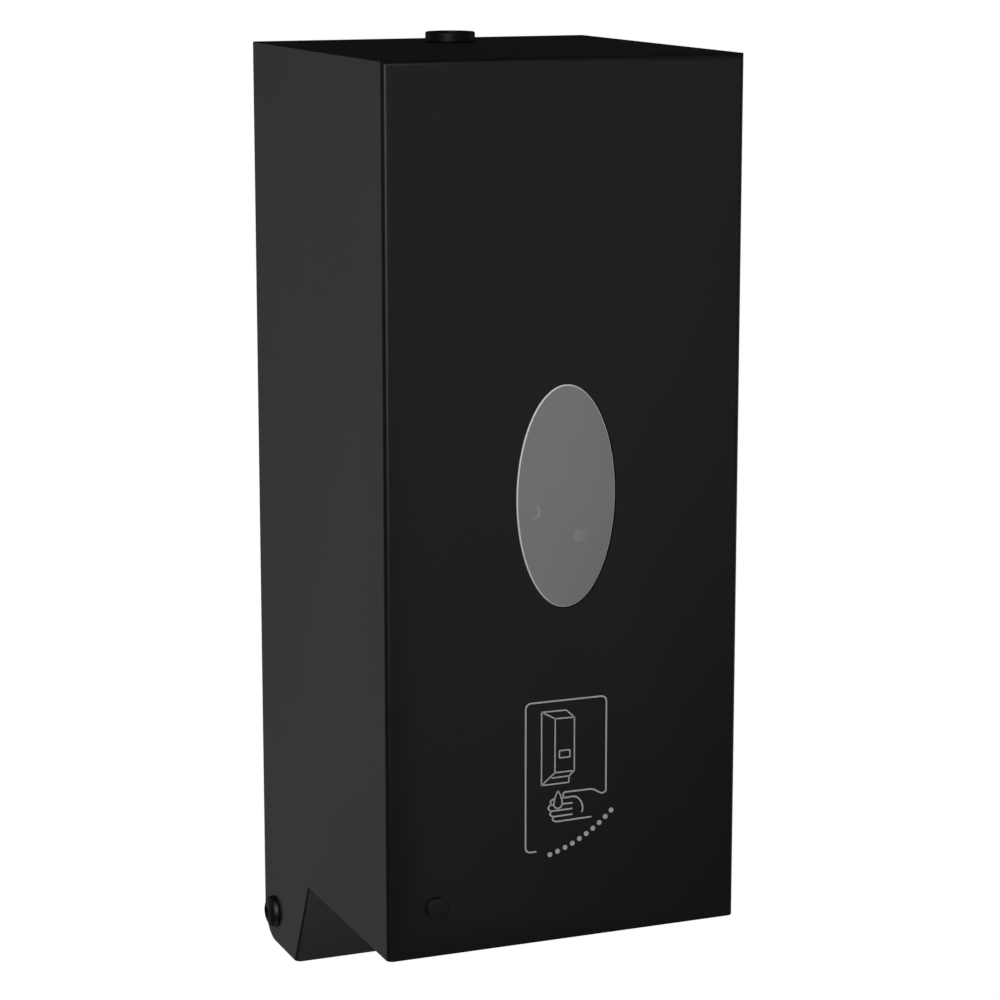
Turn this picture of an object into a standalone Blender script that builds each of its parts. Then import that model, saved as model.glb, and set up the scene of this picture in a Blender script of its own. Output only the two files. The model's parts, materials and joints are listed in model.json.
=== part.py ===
"""Wall mounted automatic soap dispenser: a folded steel cover that tilts forward off a back plate,
with a soap tank, a battery driven hose pump and a sensor inside it. Metres, +Z up, front towards -Y.
The wall is the plane Y = 0, and the origin is the middle of the back plate's rear face."""
import math

import bmesh
import bpy
from mathutils import Matrix, Vector

MM = 0.001
GAP = 0.2 * MM                      # air left between two pieces that touch

# ---- Cover: driving sizes ------------------------------------------------------------------
WIDTH = 116.0 * MM
DEPTH = 121.5 * MM
HEIGHT = 300.0 * MM
SKIRT_DROP = 29.6 * MM              # how far the rear skirt hangs below the front panel
BELLY_DEPTH = 75.5 * MM             # underside, from the front panel back to the skirt
SKIRT_SLOPE = 13.0 * MM             # how far the skirt's face leans back on its way down
SHEET = 1.2 * MM
BEND = 1.3 * MM                     # outside radius of the folded edges
WALL_GAP = 1.0 * MM

HALF = WIDTH / 2
REAR = -WALL_GAP
FRONT = REAR - DEPTH
TOP = HEIGHT / 2
BOTTOM = -HEIGHT / 2
BELLY = BOTTOM + SKIRT_DROP
INSIDE = HALF - SHEET               # inner face of a side panel

HEEL = 10.4 * MM                    # rounded lower rear corner, centred on the pivot
PIVOT_Y = REAR - HEEL
PIVOT_Z = BOTTOM + HEEL

WINDOW_Z = BELLY + 139.2 * MM
WINDOW_HALF_W = 16.4 * MM
WINDOW_HALF_H = 34.4 * MM

PANE_RIM = 3.0 * MM                 # how far the pane reaches behind the sheet
PANE_PROUD = 0.1 * MM
FRAME_SHEET = 0.8 * MM

LENS_X = -HALF + 15.6 * MM
LENS_Z = BELLY + 15.4 * MM
LENS_R = 3.4 * MM
LENS_STEM_R = 2.0 * MM
LENS_HOLE_R = 2.3 * MM
LENS_PROUD = 1.9 * MM
LENS_CORNER = 0.5 * MM
CLIP_R = 4.2 * MM

LOCK_Y = REAR - 26.0 * MM
LOCK_R = 8.0 * MM
LOCK_CAP = 3.3 * MM
LOCK_STEM = 6.0 * MM
LOCK_FOOT = TOP - 31.0 * MM         # lower end of the lock's housing
LOCK_BORE = 4.4 * MM
LOCK_RECESS_R = 5.6 * MM
LOCK_RECESS = 1.0 * MM
LOCK_CORNER = 0.6 * MM
PLUG_R = 4.2 * MM
PLUG_TAIL = 4.0 * MM                # how far the plug reaches below its housing
CAM_REACH = 20.0 * MM
CAM_HALF = 6.0 * MM
CAM_SHEET = 2.0 * MM

BUSH_HOLE_R = 4.9 * MM
NOZZLE_HOLE_R = 7.0 * MM

# ---- Back plate and what it carries ------------------------------------------------------------
PLATE = 1.5 * MM
PLATE_HALF = INSIDE - 1.6 * MM      # room for the bush flange between ear and cover
PLATE_TOP = TOP - 5.0 * MM
PLATE_FOOT = BOTTOM + 1.6 * MM
FLANGE = 10.0 * MM
KEYHOLE_X = 34.0 * MM
KEYHOLE_Z = 104.0 * MM
KEYHOLE_LOW_Z = -54.0 * MM

SHELF_TOP = -66.0 * MM
SHELF_HALF = 50.0 * MM
SHELF_FRONT = -106.0 * MM

TANK_HALF = 49.0 * MM
TANK_BACK = -6.0 * MM
TANK_FRONT = -110.0 * MM
TANK_FLOOR = SHELF_TOP + GAP
TANK_TOP = 88.0 * MM
TANK_WALL = 2.0 * MM
NECK_Y = -60.0 * MM
NECK_R = 17.0 * MM
NECK_BORE = 14.0 * MM
NECK_TOP = TANK_TOP + 5.0 * MM
LID_R = 18.5 * MM
LID_HINGE_X = -22.0 * MM
LID_HINGE_Z = TANK_TOP + 5.0 * MM
LID_PIN_R = 1.0 * MM

OUTLET_X = -32.0 * MM
OUTLET_Y = -60.0 * MM
SOCKET_DEPTH = 14.0 * MM

# ---- Pump --------------------------------------------------------------------------------------
PUMP_X = 12.0 * MM
PUMP_Y = -66.0 * MM
MODULE = 0.8 * MM
GEAR_TEETH = 36
PINION_TEETH = 12
MOTOR_X = PUMP_X - MODULE * (GEAR_TEETH + PINION_TEETH) / 2
DECK_LEFT = -43.0 * MM
DECK_RIGHT = 44.0 * MM
DECK_FRONT = -108.0 * MM
DECK_BACK = -41.0 * MM
DECK_TOP = -92.0 * MM
DECK_FLOOR = DECK_TOP - PLATE
SPACERS = ((-22 * MM, -44 * MM), (40 * MM, -48 * MM), (40 * MM, -88 * MM))
SPACER_R = 3.0 * MM
GEAR_TOP = -94.5 * MM
GEAR_FLOOR = -99.0 * MM
CUP_FLOOR = -118.0 * MM
CUP_TOP = -100.5 * MM
CUP_R = 24.6 * MM
CUP_BORE = 22.8 * MM
CUP_SHEET = 1.5 * MM
SHAFT_SEAT = CUP_FLOOR + 1.7 * MM
SHAFT_TOP = -89.5 * MM
SHAFT_R = 2.0 * MM
HUB_BORE = SHAFT_R + 0.15 * MM
ROTOR_FLOOR = -103.4 * MM
ROLLER_ORBIT = 14.0 * MM
ROLLER_R = 4.0 * MM
ROLLER_PIN_R = 1.5 * MM
ROLLERS = 3
TUBE_R = 2.0 * MM
TUBE_ORBIT = 20.5 * MM
TUBE_Z = -108.5 * MM

CARRIER_TOP = -113.5 * MM
NOZZLE_Y = -100.0 * MM
NOZZLE_R = 5.0 * MM
SENSOR_X = -27.0 * MM
EYE_HALF_X = 10.0 * MM
EYE_HALF_Y = 4.0 * MM

# ---- Batteries and electronics -------------------------------------------------------------------
CELL_R = 7.1 * MM
CELL_LENGTH = 49.0 * MM
BOX_HALF = 27.0 * MM
BOX_BACK = -4.0 * MM
BOX_FRONT = -37.0 * MM
BOX_FLOOR = -117.0 * MM
BOX_TOP = -81.0 * MM
BOX_WALL = 1.5 * MM
CONTACT_INSET = 3.0 * MM
BOARD_X = -47.0 * MM
BOARD_FACE = BOARD_X - GAP          # where the parts on the board stand
BOARD_BACK = -48.0 * MM
BOARD_FRONT = -96.0 * MM
BOARD_FLOOR = -115.0 * MM
BOARD_TOP = -74.0 * MM
SWITCH_Y = -75.0 * MM
SWITCH_Z = -84.0 * MM
BUTTON_Y = -58.0 * MM
BUTTON_Z = -84.0 * MM


# ---- Building blocks -----------------------------------------------------------------------------
def clear_scene():
    for old in list(bpy.data.objects):
        bpy.data.objects.remove(old, do_unlink=True)


def paint(name, colour, roughness, metallic=0.0):
    """A Principled material, made once for each name."""
    material = bpy.data.materials.get(name) or bpy.data.materials.new(name)
    material.use_nodes = True
    shader = material.node_tree.nodes["Principled BSDF"]
    shader.inputs["Base Color"].default_value = (*colour, 1.0)
    shader.inputs["Roughness"].default_value = roughness
    shader.inputs["Metallic"].default_value = metallic
    material.diffuse_color = (*colour, 1.0)
    return material


def black_coat():
    return paint("black_powder_coat", (0.012, 0.012, 0.013), 0.55)


def window_plastic():
    return paint("milky_window_plastic", (0.16, 0.16, 0.16), 0.35)


def black_plastic():
    return paint("black_plastic", (0.015, 0.015, 0.016), 0.45)


def black_screw_steel():
    return paint("blackened_screw_steel", (0.02, 0.02, 0.021), 0.4, 0.6)


def stainless():
    return paint("stainless_steel", (0.55, 0.55, 0.55), 0.35, 1.0)


def zinc_steel():
    return paint("zinc_plated_steel", (0.5, 0.51, 0.52), 0.4, 1.0)


def tank_plastic():
    return paint("translucent_tank_plastic", (0.75, 0.76, 0.74), 0.4)


def grey_plastic():
    return paint("grey_pump_plastic", (0.25, 0.26, 0.27), 0.5)


def white_acetal():
    return paint("white_acetal", (0.8, 0.8, 0.77), 0.35)


def silicone():
    return paint("clear_silicone", (0.6, 0.6, 0.58), 0.4)


def board_green():
    return paint("green_circuit_board", (0.02, 0.12, 0.05), 0.45)


def cell_wrap():
    return paint("battery_wrap", (0.05, 0.1, 0.25), 0.3)


def red_plastic():
    return paint("red_plastic", (0.45, 0.03, 0.02), 0.4)


def ir_plastic():
    return paint("sensor_window_plastic", (0.02, 0.004, 0.008), 0.12)


def wire_red():
    return paint("wire_insulation", (0.3, 0.02, 0.02), 0.45)


def piece(name, bm, material, sharp=35):
    """Turn a bmesh into a named object, shaded smooth except at its corners."""
    bmesh.ops.recalc_face_normals(bm, faces=bm.faces)
    mesh = bpy.data.meshes.new(name)
    bm.to_mesh(mesh)
    bm.free()
    mesh.shade_smooth()
    mesh.set_sharp_from_angle(angle=math.radians(sharp))
    obj = bpy.data.objects.new(name, mesh)
    bpy.context.scene.collection.objects.link(obj)
    obj.data.materials.append(material)
    return obj


def block(low, high):
    bm = bmesh.new()
    low, high = Vector(low), Vector(high)
    bmesh.ops.create_cube(bm, size=1.0)
    bmesh.ops.scale(bm, vec=high - low, verts=bm.verts)
    bmesh.ops.translate(bm, vec=(low + high) / 2, verts=bm.verts)
    return bm


AXES = {
    "+Z": Matrix.Identity(4),
    "-Z": Matrix.Rotation(math.pi, 4, "X"),
    "+X": Matrix.Rotation(math.pi / 2, 4, "Y"),
    "-X": Matrix.Rotation(-math.pi / 2, 4, "Y"),
    "+Y": Matrix.Rotation(-math.pi / 2, 4, "X"),
    "-Y": Matrix.Rotation(math.pi / 2, 4, "X"),
}


def turned(profile, place, axis="+Z", segments=24, ring=False):
    """Spin a profile of (radius, height) points about an axis through place."""
    bm = bmesh.new()
    verts = [bm.verts.new((radius, 0, height)) for radius, height in profile]
    pairs = list(zip(verts, verts[1:]))
    if ring:
        pairs.append((verts[-1], verts[0]))
    edges = [bm.edges.new(pair) for pair in pairs]
    bmesh.ops.spin(bm, geom=verts + edges, cent=(0, 0, 0), axis=(0, 0, 1), angle=math.tau,
                   steps=segments, use_merge=True, use_duplicate=False)
    bmesh.ops.remove_doubles(bm, verts=bm.verts, dist=1e-7)
    bmesh.ops.recalc_face_normals(bm, faces=bm.faces)
    bmesh.ops.transform(bm, matrix=Matrix.Translation(place) @ AXES[axis], verts=bm.verts)
    return bm


def rod(radius, length, place, axis="+Z", segments=24):
    bm = bmesh.new()
    bmesh.ops.create_cone(bm, cap_ends=True, cap_tris=False, segments=segments, radius1=radius,
                          radius2=radius, depth=length, matrix=Matrix.Translation((0, 0, length / 2)))
    bmesh.ops.transform(bm, matrix=Matrix.Translation(place) @ AXES[axis], verts=bm.verts)
    return bm


def sleeve(radius, bore, length, place, axis="+Z", segments=24):
    profile = [(bore, 0), (radius, 0), (radius, length), (bore, length)]
    return turned(profile, place, axis, segments, ring=True)


def slab(outline, plane, start, end):
    """Extrude a closed outline. plane names the two directions its points are given in."""
    bm = bmesh.new()
    layout = {"YZ": lambda p: (start, p[0], p[1]),
              "XZ": lambda p: (p[0], start, p[1]),
              "XY": lambda p: (p[0], p[1], start)}
    travel = {"YZ": (end - start, 0, 0), "XZ": (0, end - start, 0), "XY": (0, 0, end - start)}
    face = bm.faces.new([bm.verts.new(layout[plane](point)) for point in outline])
    grown = bmesh.ops.extrude_face_region(bm, geom=[face])
    moved = [item for item in grown["geom"] if isinstance(item, bmesh.types.BMVert)]
    bmesh.ops.translate(bm, vec=travel[plane], verts=moved)
    bmesh.ops.recalc_face_normals(bm, faces=bm.faces)
    return bm


def arc(centre, radius_a, radius_b, start, end, steps):
    """Points on a circle or ellipse from one angle to another, in degrees."""
    points = []
    for step in range(steps + 1):
        angle = math.radians(start + (end - start) * step / steps)
        points.append((centre[0] + radius_a * math.cos(angle), centre[1] + radius_b * math.sin(angle)))
    return points


def ellipse(centre, radius_a, radius_b, steps=48):
    return arc(centre, radius_a, radius_b, 0, 360 - 360 / steps, steps - 1)


def round_upright_edges(bm, radius, segments=5):
    edges = [e for e in bm.edges
             if abs(e.verts[0].co.x - e.verts[1].co.x) < 1e-7
             and abs(e.verts[0].co.y - e.verts[1].co.y) < 1e-7]
    bmesh.ops.bevel(bm, geom=edges, offset=radius, segments=segments, profile=0.5,
                    affect="EDGES", material=-1, clamp_overlap=True)


def combine(target, tool_mesh, operation):
    """Cut, join or intersect target with a bmesh, and keep the result as its mesh."""
    tool = piece("tool", tool_mesh, target.data.materials[0])
    step = target.modifiers.new("shape", "BOOLEAN")
    step.operation = operation
    step.solver = "EXACT"
    step.object = tool
    graph = bpy.context.evaluated_depsgraph_get()
    result = bpy.data.meshes.new_from_object(target.evaluated_get(graph))
    target.modifiers.clear()
    old_mesh, target.data = target.data, result
    result.name = target.name
    bpy.data.meshes.remove(old_mesh)
    bpy.data.objects.remove(tool, do_unlink=True)
    target.data.shade_smooth()
    target.data.set_sharp_from_angle(angle=math.radians(35))
    return target


def cut(target, *tools):
    for tool in tools:
        combine(target, tool, "DIFFERENCE")
    return target


def join(target, *tools):
    for tool in tools:
        combine(target, tool, "UNION")
    return target


# ---- Cover ---------------------------------------------------------------------------------------
def cover_outline():
    """Side view of the cover: front, top, rear, rounded heel, skirt and belly."""
    heel = arc((PIVOT_Y, PIVOT_Z), HEEL, HEEL, 0, -90, 8)
    skirt_top = (FRONT + BELLY_DEPTH, BELLY)
    skirt_foot = (FRONT + BELLY_DEPTH + SKIRT_SLOPE, BOTTOM)
    return [(FRONT, BELLY), (FRONT, TOP), (REAR, TOP), *heel, skirt_foot, skirt_top]


def cavity_outline():
    """The same view of the space inside, left open to the wall and below the skirt."""
    lean = SKIRT_SLOPE / SKIRT_DROP
    inner_belly = BELLY + SHEET
    setback = SHEET * math.hypot(1, lean) - SHEET * lean
    skirt_top = FRONT + BELLY_DEPTH + setback
    below = BOTTOM - 15 * MM
    skirt_below = skirt_top + (inner_belly - below) * lean
    behind = 10 * MM
    return [(FRONT + SHEET, inner_belly), (FRONT + SHEET, TOP - SHEET), (behind, TOP - SHEET),
            (behind, below), (skirt_below, below), (skirt_top, inner_belly)]


def cover_shell():
    bm = slab(cover_outline(), "YZ", -HALF, HALF)
    folded = []
    for edge in bm.edges:
        middle = (edge.verts[0].co + edge.verts[1].co) / 2
        across = abs(edge.verts[0].co.x - edge.verts[1].co.x) > MM
        in_heel = middle.z < BOTTOM + SKIRT_DROP / 3 and middle.y > FRONT + BELLY_DEPTH + SKIRT_SLOPE
        at_rear = middle.y > REAR - MM / 2
        at_skirt_foot = across and middle.z < BOTTOM + MM
        if not (in_heel or at_rear or at_skirt_foot):
            folded.append(edge)
    bmesh.ops.bevel(bm, geom=folded, offset=BEND, segments=3, profile=0.5,
                    affect="EDGES", material=-1, clamp_overlap=True)
    shell = piece("cover_shell", bm, black_coat())
    past = 4 * MM
    through = 2 * past
    window = slab(ellipse((0, WINDOW_Z), WINDOW_HALF_W, WINDOW_HALF_H), "XZ", FRONT - past, FRONT + past)
    lens_hole = rod(LENS_HOLE_R, through, (LENS_X, FRONT - past, LENS_Z), "+Y")
    lock_hole = rod(LOCK_STEM + 0.3 * MM, through, (0, LOCK_Y, TOP - past))
    pivot_holes = rod(BUSH_HOLE_R, WIDTH + through, (-HALF - past, PIVOT_Y, PIVOT_Z), "+X")
    nozzle_hole = rod(NOZZLE_HOLE_R, through, (0, NOZZLE_Y, BELLY - past))
    sensor_hole = block((SENSOR_X - 11 * MM, NOZZLE_Y - 5 * MM, BELLY - past),
                        (SENSOR_X + 11 * MM, NOZZLE_Y + 5 * MM, BELLY + past))
    return cut(shell, slab(cavity_outline(), "YZ", -INSIDE, INSIDE), window, lens_hole, lock_hole,
               pivot_holes, nozzle_hole, sensor_hole)


def window_pane():
    """A stepped oval: the middle fills the cut-out, the rim lies behind the sheet."""
    inner = FRONT + SHEET + GAP
    rim = ellipse((0, WINDOW_Z), WINDOW_HALF_W + PANE_RIM, WINDOW_HALF_H + PANE_RIM)
    pane = piece("window_pane", slab(rim, "XZ", inner, inner + PLATE), window_plastic())
    clearance = GAP + 0.05 * MM
    middle = ellipse((0, WINDOW_Z), WINDOW_HALF_W - clearance, WINDOW_HALF_H - clearance)
    return join(pane, slab(middle, "XZ", FRONT - PANE_PROUD, inner + PLATE / 2))


def window_frame():
    """The spring steel frame that presses the pane against the sheet from behind."""
    back = FRONT + SHEET + GAP + PLATE + GAP
    outer_rim = PANE_RIM + MM
    inner_rim = 0.5 * MM
    outer = ellipse((0, WINDOW_Z), WINDOW_HALF_W + outer_rim, WINDOW_HALF_H + outer_rim)
    frame = piece("window_frame", slab(outer, "XZ", back, back + FRAME_SHEET), stainless())
    hole = ellipse((0, WINDOW_Z), WINDOW_HALF_W + inner_rim, WINDOW_HALF_H + inner_rim)
    return cut(frame, slab(hole, "XZ", back - MM, back + FRAME_SHEET + MM))


def indicator_lens():
    stem = SHEET + 4.5 * MM
    face = stem + LENS_PROUD
    profile = [(0, 0), (LENS_STEM_R, 0), (LENS_STEM_R, stem + GAP), (LENS_R, stem + GAP),
               (LENS_R, face - LENS_CORNER), (LENS_R - LENS_CORNER, face), (0, face)]
    return piece("indicator_lens", turned(profile, (LENS_X, FRONT + stem, LENS_Z), "-Y"), black_plastic())


def indicator_clip():
    start = FRONT + SHEET + GAP
    ring = sleeve(CLIP_R, LENS_STEM_R + GAP, FRAME_SHEET, (LENS_X, start, LENS_Z), "+Y")
    return piece("indicator_clip", ring, stainless())


def lock_housing():
    """Cap above the top panel, stem through it, and a bore for the plug from end to end."""
    cap_floor = TOP + GAP
    cap_top = TOP + LOCK_CAP
    recess_floor = cap_top - LOCK_RECESS
    profile = [(LOCK_BORE, LOCK_FOOT), (LOCK_STEM, LOCK_FOOT), (LOCK_STEM, cap_floor), (LOCK_R, cap_floor),
               (LOCK_R, cap_top - LOCK_CORNER), (LOCK_R - LOCK_CORNER, cap_top), (LOCK_RECESS_R, cap_top),
               (LOCK_RECESS_R, recess_floor), (LOCK_BORE, recess_floor)]
    return piece("lock_housing", turned(profile, (0, LOCK_Y, 0), segments=32, ring=True), black_plastic())


def hexagon(across_flats, centre):
    return arc(centre, across_flats / math.sqrt(3), across_flats / math.sqrt(3), 0, 300, 5)


def lock_nut():
    height = 4 * MM
    nut_top = TOP - SHEET - GAP
    nut = piece("lock_nut", slab(hexagon(17 * MM, (0, LOCK_Y)), "XY", nut_top - height, nut_top),
                zinc_steel())
    return cut(nut, rod(LOCK_STEM + 0.15 * MM, 2 * height, (0, LOCK_Y, nut_top - 1.5 * height)))


def lock_plug():
    top = TOP + LOCK_CAP - LOCK_RECESS
    foot = LOCK_FOOT - PLUG_TAIL
    plug = piece("lock_plug", rod(PLUG_R, top - foot, (0, LOCK_Y, foot)), black_screw_steel())
    slot_half = Vector((3.0, 0.6, 1.5)) * MM
    middle = Vector((0, LOCK_Y, top))
    thread_hole = rod(1.6 * MM, 6 * MM, (0, LOCK_Y, foot - MM), segments=20)
    return cut(plug, block(middle - slot_half, middle + slot_half), thread_hole)


def lock_cam():
    """The arm that swings behind the latch bracket; at rest it points to the wall."""
    hub = CAM_HALF + MM
    end = CAM_HALF - MM
    tip = LOCK_Y + CAM_REACH - CAM_HALF
    outline = arc((0, LOCK_Y), hub, hub, 180, 360, 10) + arc((0, tip), end, end, 0, 180, 8)
    top = LOCK_FOOT - GAP
    cam = piece("lock_cam", slab(outline, "XY", top - CAM_SHEET, top), zinc_steel())
    return cut(cam, rod(PLUG_R + GAP, 4 * CAM_SHEET, (0, LOCK_Y, top - 2 * CAM_SHEET)))


def cam_screw():
    """Screw with its washer head under the cam."""
    head_r = 5.5 * MM
    head = 2.2 * MM
    shank_r = 1.4 * MM
    seat = LOCK_FOOT - PLUG_TAIL - GAP
    profile = [(0, -head), (head_r, -head), (head_r, 0), (shank_r, 0), (shank_r, 4 * MM), (0, 4 * MM)]
    screw = piece("cam_screw", turned(profile, (0, LOCK_Y, seat)), zinc_steel())
    slot_half = Vector((6.0, 0.5, 1.0)) * MM
    middle = Vector((0, LOCK_Y, seat - head))
    return cut(screw, block(middle - slot_half, middle + slot_half))


# ---- Back plate, latch and pivots ------------------------------------------------------------------
def flange_outline():
    """Side view of the plate's folded edge, which widens into the pivot ear at its foot."""
    ear = 20.0 * MM
    corner = 5.0 * MM
    top = PLATE_TOP - 8 * MM
    return [(0, PLATE_FOOT), (-ear + corner, PLATE_FOOT), (-ear, PLATE_FOOT + corner),
            (-ear, PIVOT_Z + 8 * MM), (-FLANGE, PIVOT_Z + 18 * MM), (-FLANGE, top), (0, top)]


def keyhole(x, z):
    """A round hole for the screw's head with a slot above it for the screw's shank."""
    head = 4.6 * MM
    slot = 2.6 * MM
    rise = 10 * MM
    past = 5 * MM
    throat = math.degrees(math.asin(slot / head))
    outline = arc((x, z), head, head, 90 + throat, 450 - throat, 20)
    outline += arc((x, z + rise), slot, slot, 0, 180, 8)
    return slab(outline, "XZ", -past, past)


def back_plate():
    plate = piece("back_plate", block((-PLATE_HALF, -PLATE, PLATE_FOOT), (PLATE_HALF, 0, PLATE_TOP)),
                  stainless())
    for side in (-1, 1):
        outer = side * PLATE_HALF
        inner = side * (PLATE_HALF - PLATE)
        join(plate, slab(flange_outline(), "YZ", min(outer, inner), max(outer, inner)))
    for x in (-KEYHOLE_X, KEYHOLE_X):
        for z in (KEYHOLE_LOW_Z, KEYHOLE_Z):
            cut(plate, keyhole(x, z))
    return cut(plate, rod(3.3 * MM, WIDTH, (-HALF, PIVOT_Y, PIVOT_Z), "+X"))


def latch_bracket():
    """Bent strip on the back plate; the cam swings in behind its front tab."""
    low = LOCK_FOOT - 9 * MM
    high = LOCK_FOOT + 5 * MM
    arm = 22.0 * MM                 # where the strip turns forward
    foot = 14.0 * MM                # how far it runs along the back plate
    lap = 0.5 * MM
    tab_y = LOCK_Y - CAM_HALF - 3.0 * MM
    rear = -PLATE - GAP
    strip = piece("latch_bracket", block((arm - foot, rear - PLATE, low), (arm + PLATE, rear, high)),
                  zinc_steel())
    side = block((arm, tab_y, low), (arm + PLATE, rear - lap, high))
    tab = block((arm - 10 * MM, tab_y - PLATE, low), (arm + PLATE, tab_y, high))
    corner = block((arm, tab_y - lap, low), (arm + PLATE, tab_y + lap, high))
    return join(strip, side, corner, tab)


def pivot_bush(word, axis, side):
    start = side * (PLATE_HALF + GAP)
    bore = 3.2 * MM
    flange_r = 7.5 * MM
    flange = 1.1 * MM
    barrel_r = 4.6 * MM
    barrel = HALF - PLATE_HALF
    profile = [(bore, 0), (flange_r, 0), (flange_r, flange), (barrel_r, flange), (barrel_r, barrel),
               (bore, barrel)]
    ring = turned(profile, (start, PIVOT_Y, PIVOT_Z), axis, ring=True)
    return piece("pivot_bush_" + word, ring, black_plastic())


def pivot_screw(word, axis, side):
    """Button head screw with a hexagon socket."""
    seat = HALF + 2 * GAP
    head_r = 5.35 * MM
    head = 3.0 * MM
    rim = 0.5 * MM
    shank_r = 2.9 * MM
    shank = 14.0 * MM
    dome = arc((0, rim), head_r, head - rim, 0, 90, 4)
    profile = [(0, -shank), (shank_r, -shank), (shank_r, 0), (head_r, 0), *dome[:-1], (0, head)]
    screw = piece("pivot_screw_" + word, turned(profile, (side * seat, PIVOT_Y, PIVOT_Z), axis, 28),
                  black_screw_steel())
    low, high = sorted((side * (seat + 5 * MM), side * (seat + MM)))
    return cut(screw, slab(hexagon(4.0 * MM, (PIVOT_Y, PIVOT_Z)), "YZ", low, high))


def pivot_nut(word, side):
    height = 5.0 * MM
    face = PLATE_HALF - PLATE - GAP
    low, high = sorted((side * face, side * (face - height)))
    nut = piece("pivot_nut_" + word, slab(hexagon(10 * MM, (PIVOT_Y, PIVOT_Z)), "YZ", low, high),
                zinc_steel())
    return cut(nut, rod(3.1 * MM, 3 * height, (low - height, PIVOT_Y, PIVOT_Z), "+X"))


# ---- Shelf, pump and motor ---------------------------------------------------------------------------
def tank_shelf():
    """Bent sheet on the back plate that the tank stands on."""
    back = -PLATE - GAP
    upstand = SHELF_TOP + 22 * MM
    shelf = piece("tank_shelf",
                  block((-SHELF_HALF, SHELF_FRONT, SHELF_TOP - PLATE), (SHELF_HALF, back, SHELF_TOP)),
                  stainless())
    join(shelf, block((-SHELF_HALF, back - PLATE, SHELF_TOP - MM), (SHELF_HALF, back, upstand)))
    screw_room = 9 * MM
    gaps = [block((x - screw_room, back - 2 * PLATE, SHELF_TOP + 4 * MM), (x + screw_room, 0, upstand + MM))
            for x in (-KEYHOLE_X, KEYHOLE_X)]
    hole = rod(6.5 * MM, 8 * MM, (OUTLET_X, OUTLET_Y, SHELF_TOP - 5 * MM))
    return cut(shelf, hole, *gaps)


def pump_deck():
    """Plate that carries the motor above, the gears and pump below, and the board at its side."""
    deck = piece("pump_deck",
                 block((DECK_LEFT, DECK_FRONT, DECK_FLOOR), (DECK_RIGHT, DECK_BACK, DECK_TOP)), zinc_steel())
    lap = 0.4 * MM
    join(deck, block((DECK_LEFT - PLATE, -92 * MM, DECK_FLOOR), (DECK_LEFT + lap, -52 * MM, -76 * MM)))
    past = 4 * MM
    places = ((2.3 * MM, PUMP_X, PUMP_Y), (3.0 * MM, MOTOR_X, PUMP_Y), (4.0 * MM, OUTLET_X, OUTLET_Y))
    holes = [rod(radius, 2 * past, (x, y, DECK_TOP - past)) for radius, x, y in places]
    return cut(deck, *holes)


def pump_spacers():
    length = SHELF_TOP - PLATE - DECK_TOP - 2 * GAP
    return [piece("pump_spacer_%d" % (number + 1), rod(SPACER_R, length, (x, y, DECK_TOP + GAP), segments=20),
                  zinc_steel())
            for number, (x, y) in enumerate(SPACERS)]


def pump_cup():
    """Round cup open at the top; its left side is cut away where the tube comes in and out."""
    floor = CUP_FLOOR + CUP_SHEET
    bearing_r = 4.0 * MM
    bearing_bore = 2.2 * MM
    bearing_top = CUP_FLOOR + 2 * CUP_SHEET
    profile = [(0, CUP_FLOOR), (CUP_R, CUP_FLOOR), (CUP_R, CUP_TOP), (CUP_BORE, CUP_TOP), (CUP_BORE, floor),
               (bearing_r, floor), (bearing_r, bearing_top), (bearing_bore, bearing_top),
               (bearing_bore, SHAFT_SEAT), (0, SHAFT_SEAT)]
    cup = piece("pump_cup", turned(profile, (PUMP_X, PUMP_Y, 0), segments=32), grey_plastic())
    past = CUP_R + 2 * MM
    mouth = block((PUMP_X - past, PUMP_Y - past, bearing_top + GAP),
                  (PUMP_X - 0.5 * MM, PUMP_Y + past, CUP_TOP + MM))
    cut(cup, mouth)
    reach = 19.0 * MM
    lug = 2.5 * MM
    for side in (-1, 1):
        x = PUMP_X + reach
        y = PUMP_Y + side * reach
        join(cup, block((x - lug, y - lug, CUP_TOP - 4.3 * MM), (x + lug, y + lug, DECK_FLOOR - GAP)))
    return cup


def pump_shaft():
    foot = SHAFT_SEAT + GAP
    return piece("pump_shaft", rod(SHAFT_R, SHAFT_TOP - foot, (PUMP_X, PUMP_Y, foot)), stainless())


def roller_place(number):
    angle = math.tau * number / ROLLERS
    return (PUMP_X + ROLLER_ORBIT * math.cos(angle), PUMP_Y + ROLLER_ORBIT * math.sin(angle))


def pump_rotor():
    """Disc with a hub on the shaft and three pins below it for the rollers."""
    disc = sleeve(17.0 * MM, HUB_BORE, 2.0 * MM, (PUMP_X, PUMP_Y, ROTOR_FLOOR), segments=28)
    rotor = piece("pump_rotor", disc, white_acetal())
    join(rotor, sleeve(6.0 * MM, HUB_BORE, 10.0 * MM, (PUMP_X, PUMP_Y, ROTOR_FLOOR - 9.5 * MM)))
    for number in range(ROLLERS):
        x, y = roller_place(number)
        join(rotor, rod(ROLLER_PIN_R, 10.5 * MM, (x, y, ROTOR_FLOOR - 10 * MM), segments=16))
    return rotor


def pump_rollers():
    bore = ROLLER_PIN_R + 0.1 * MM
    return [piece("pump_roller_%d" % (number + 1),
                  sleeve(ROLLER_R, bore, 9.2 * MM, (*roller_place(number), ROTOR_FLOOR - 9.6 * MM)),
                  stainless())
            for number in range(ROLLERS)]


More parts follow.
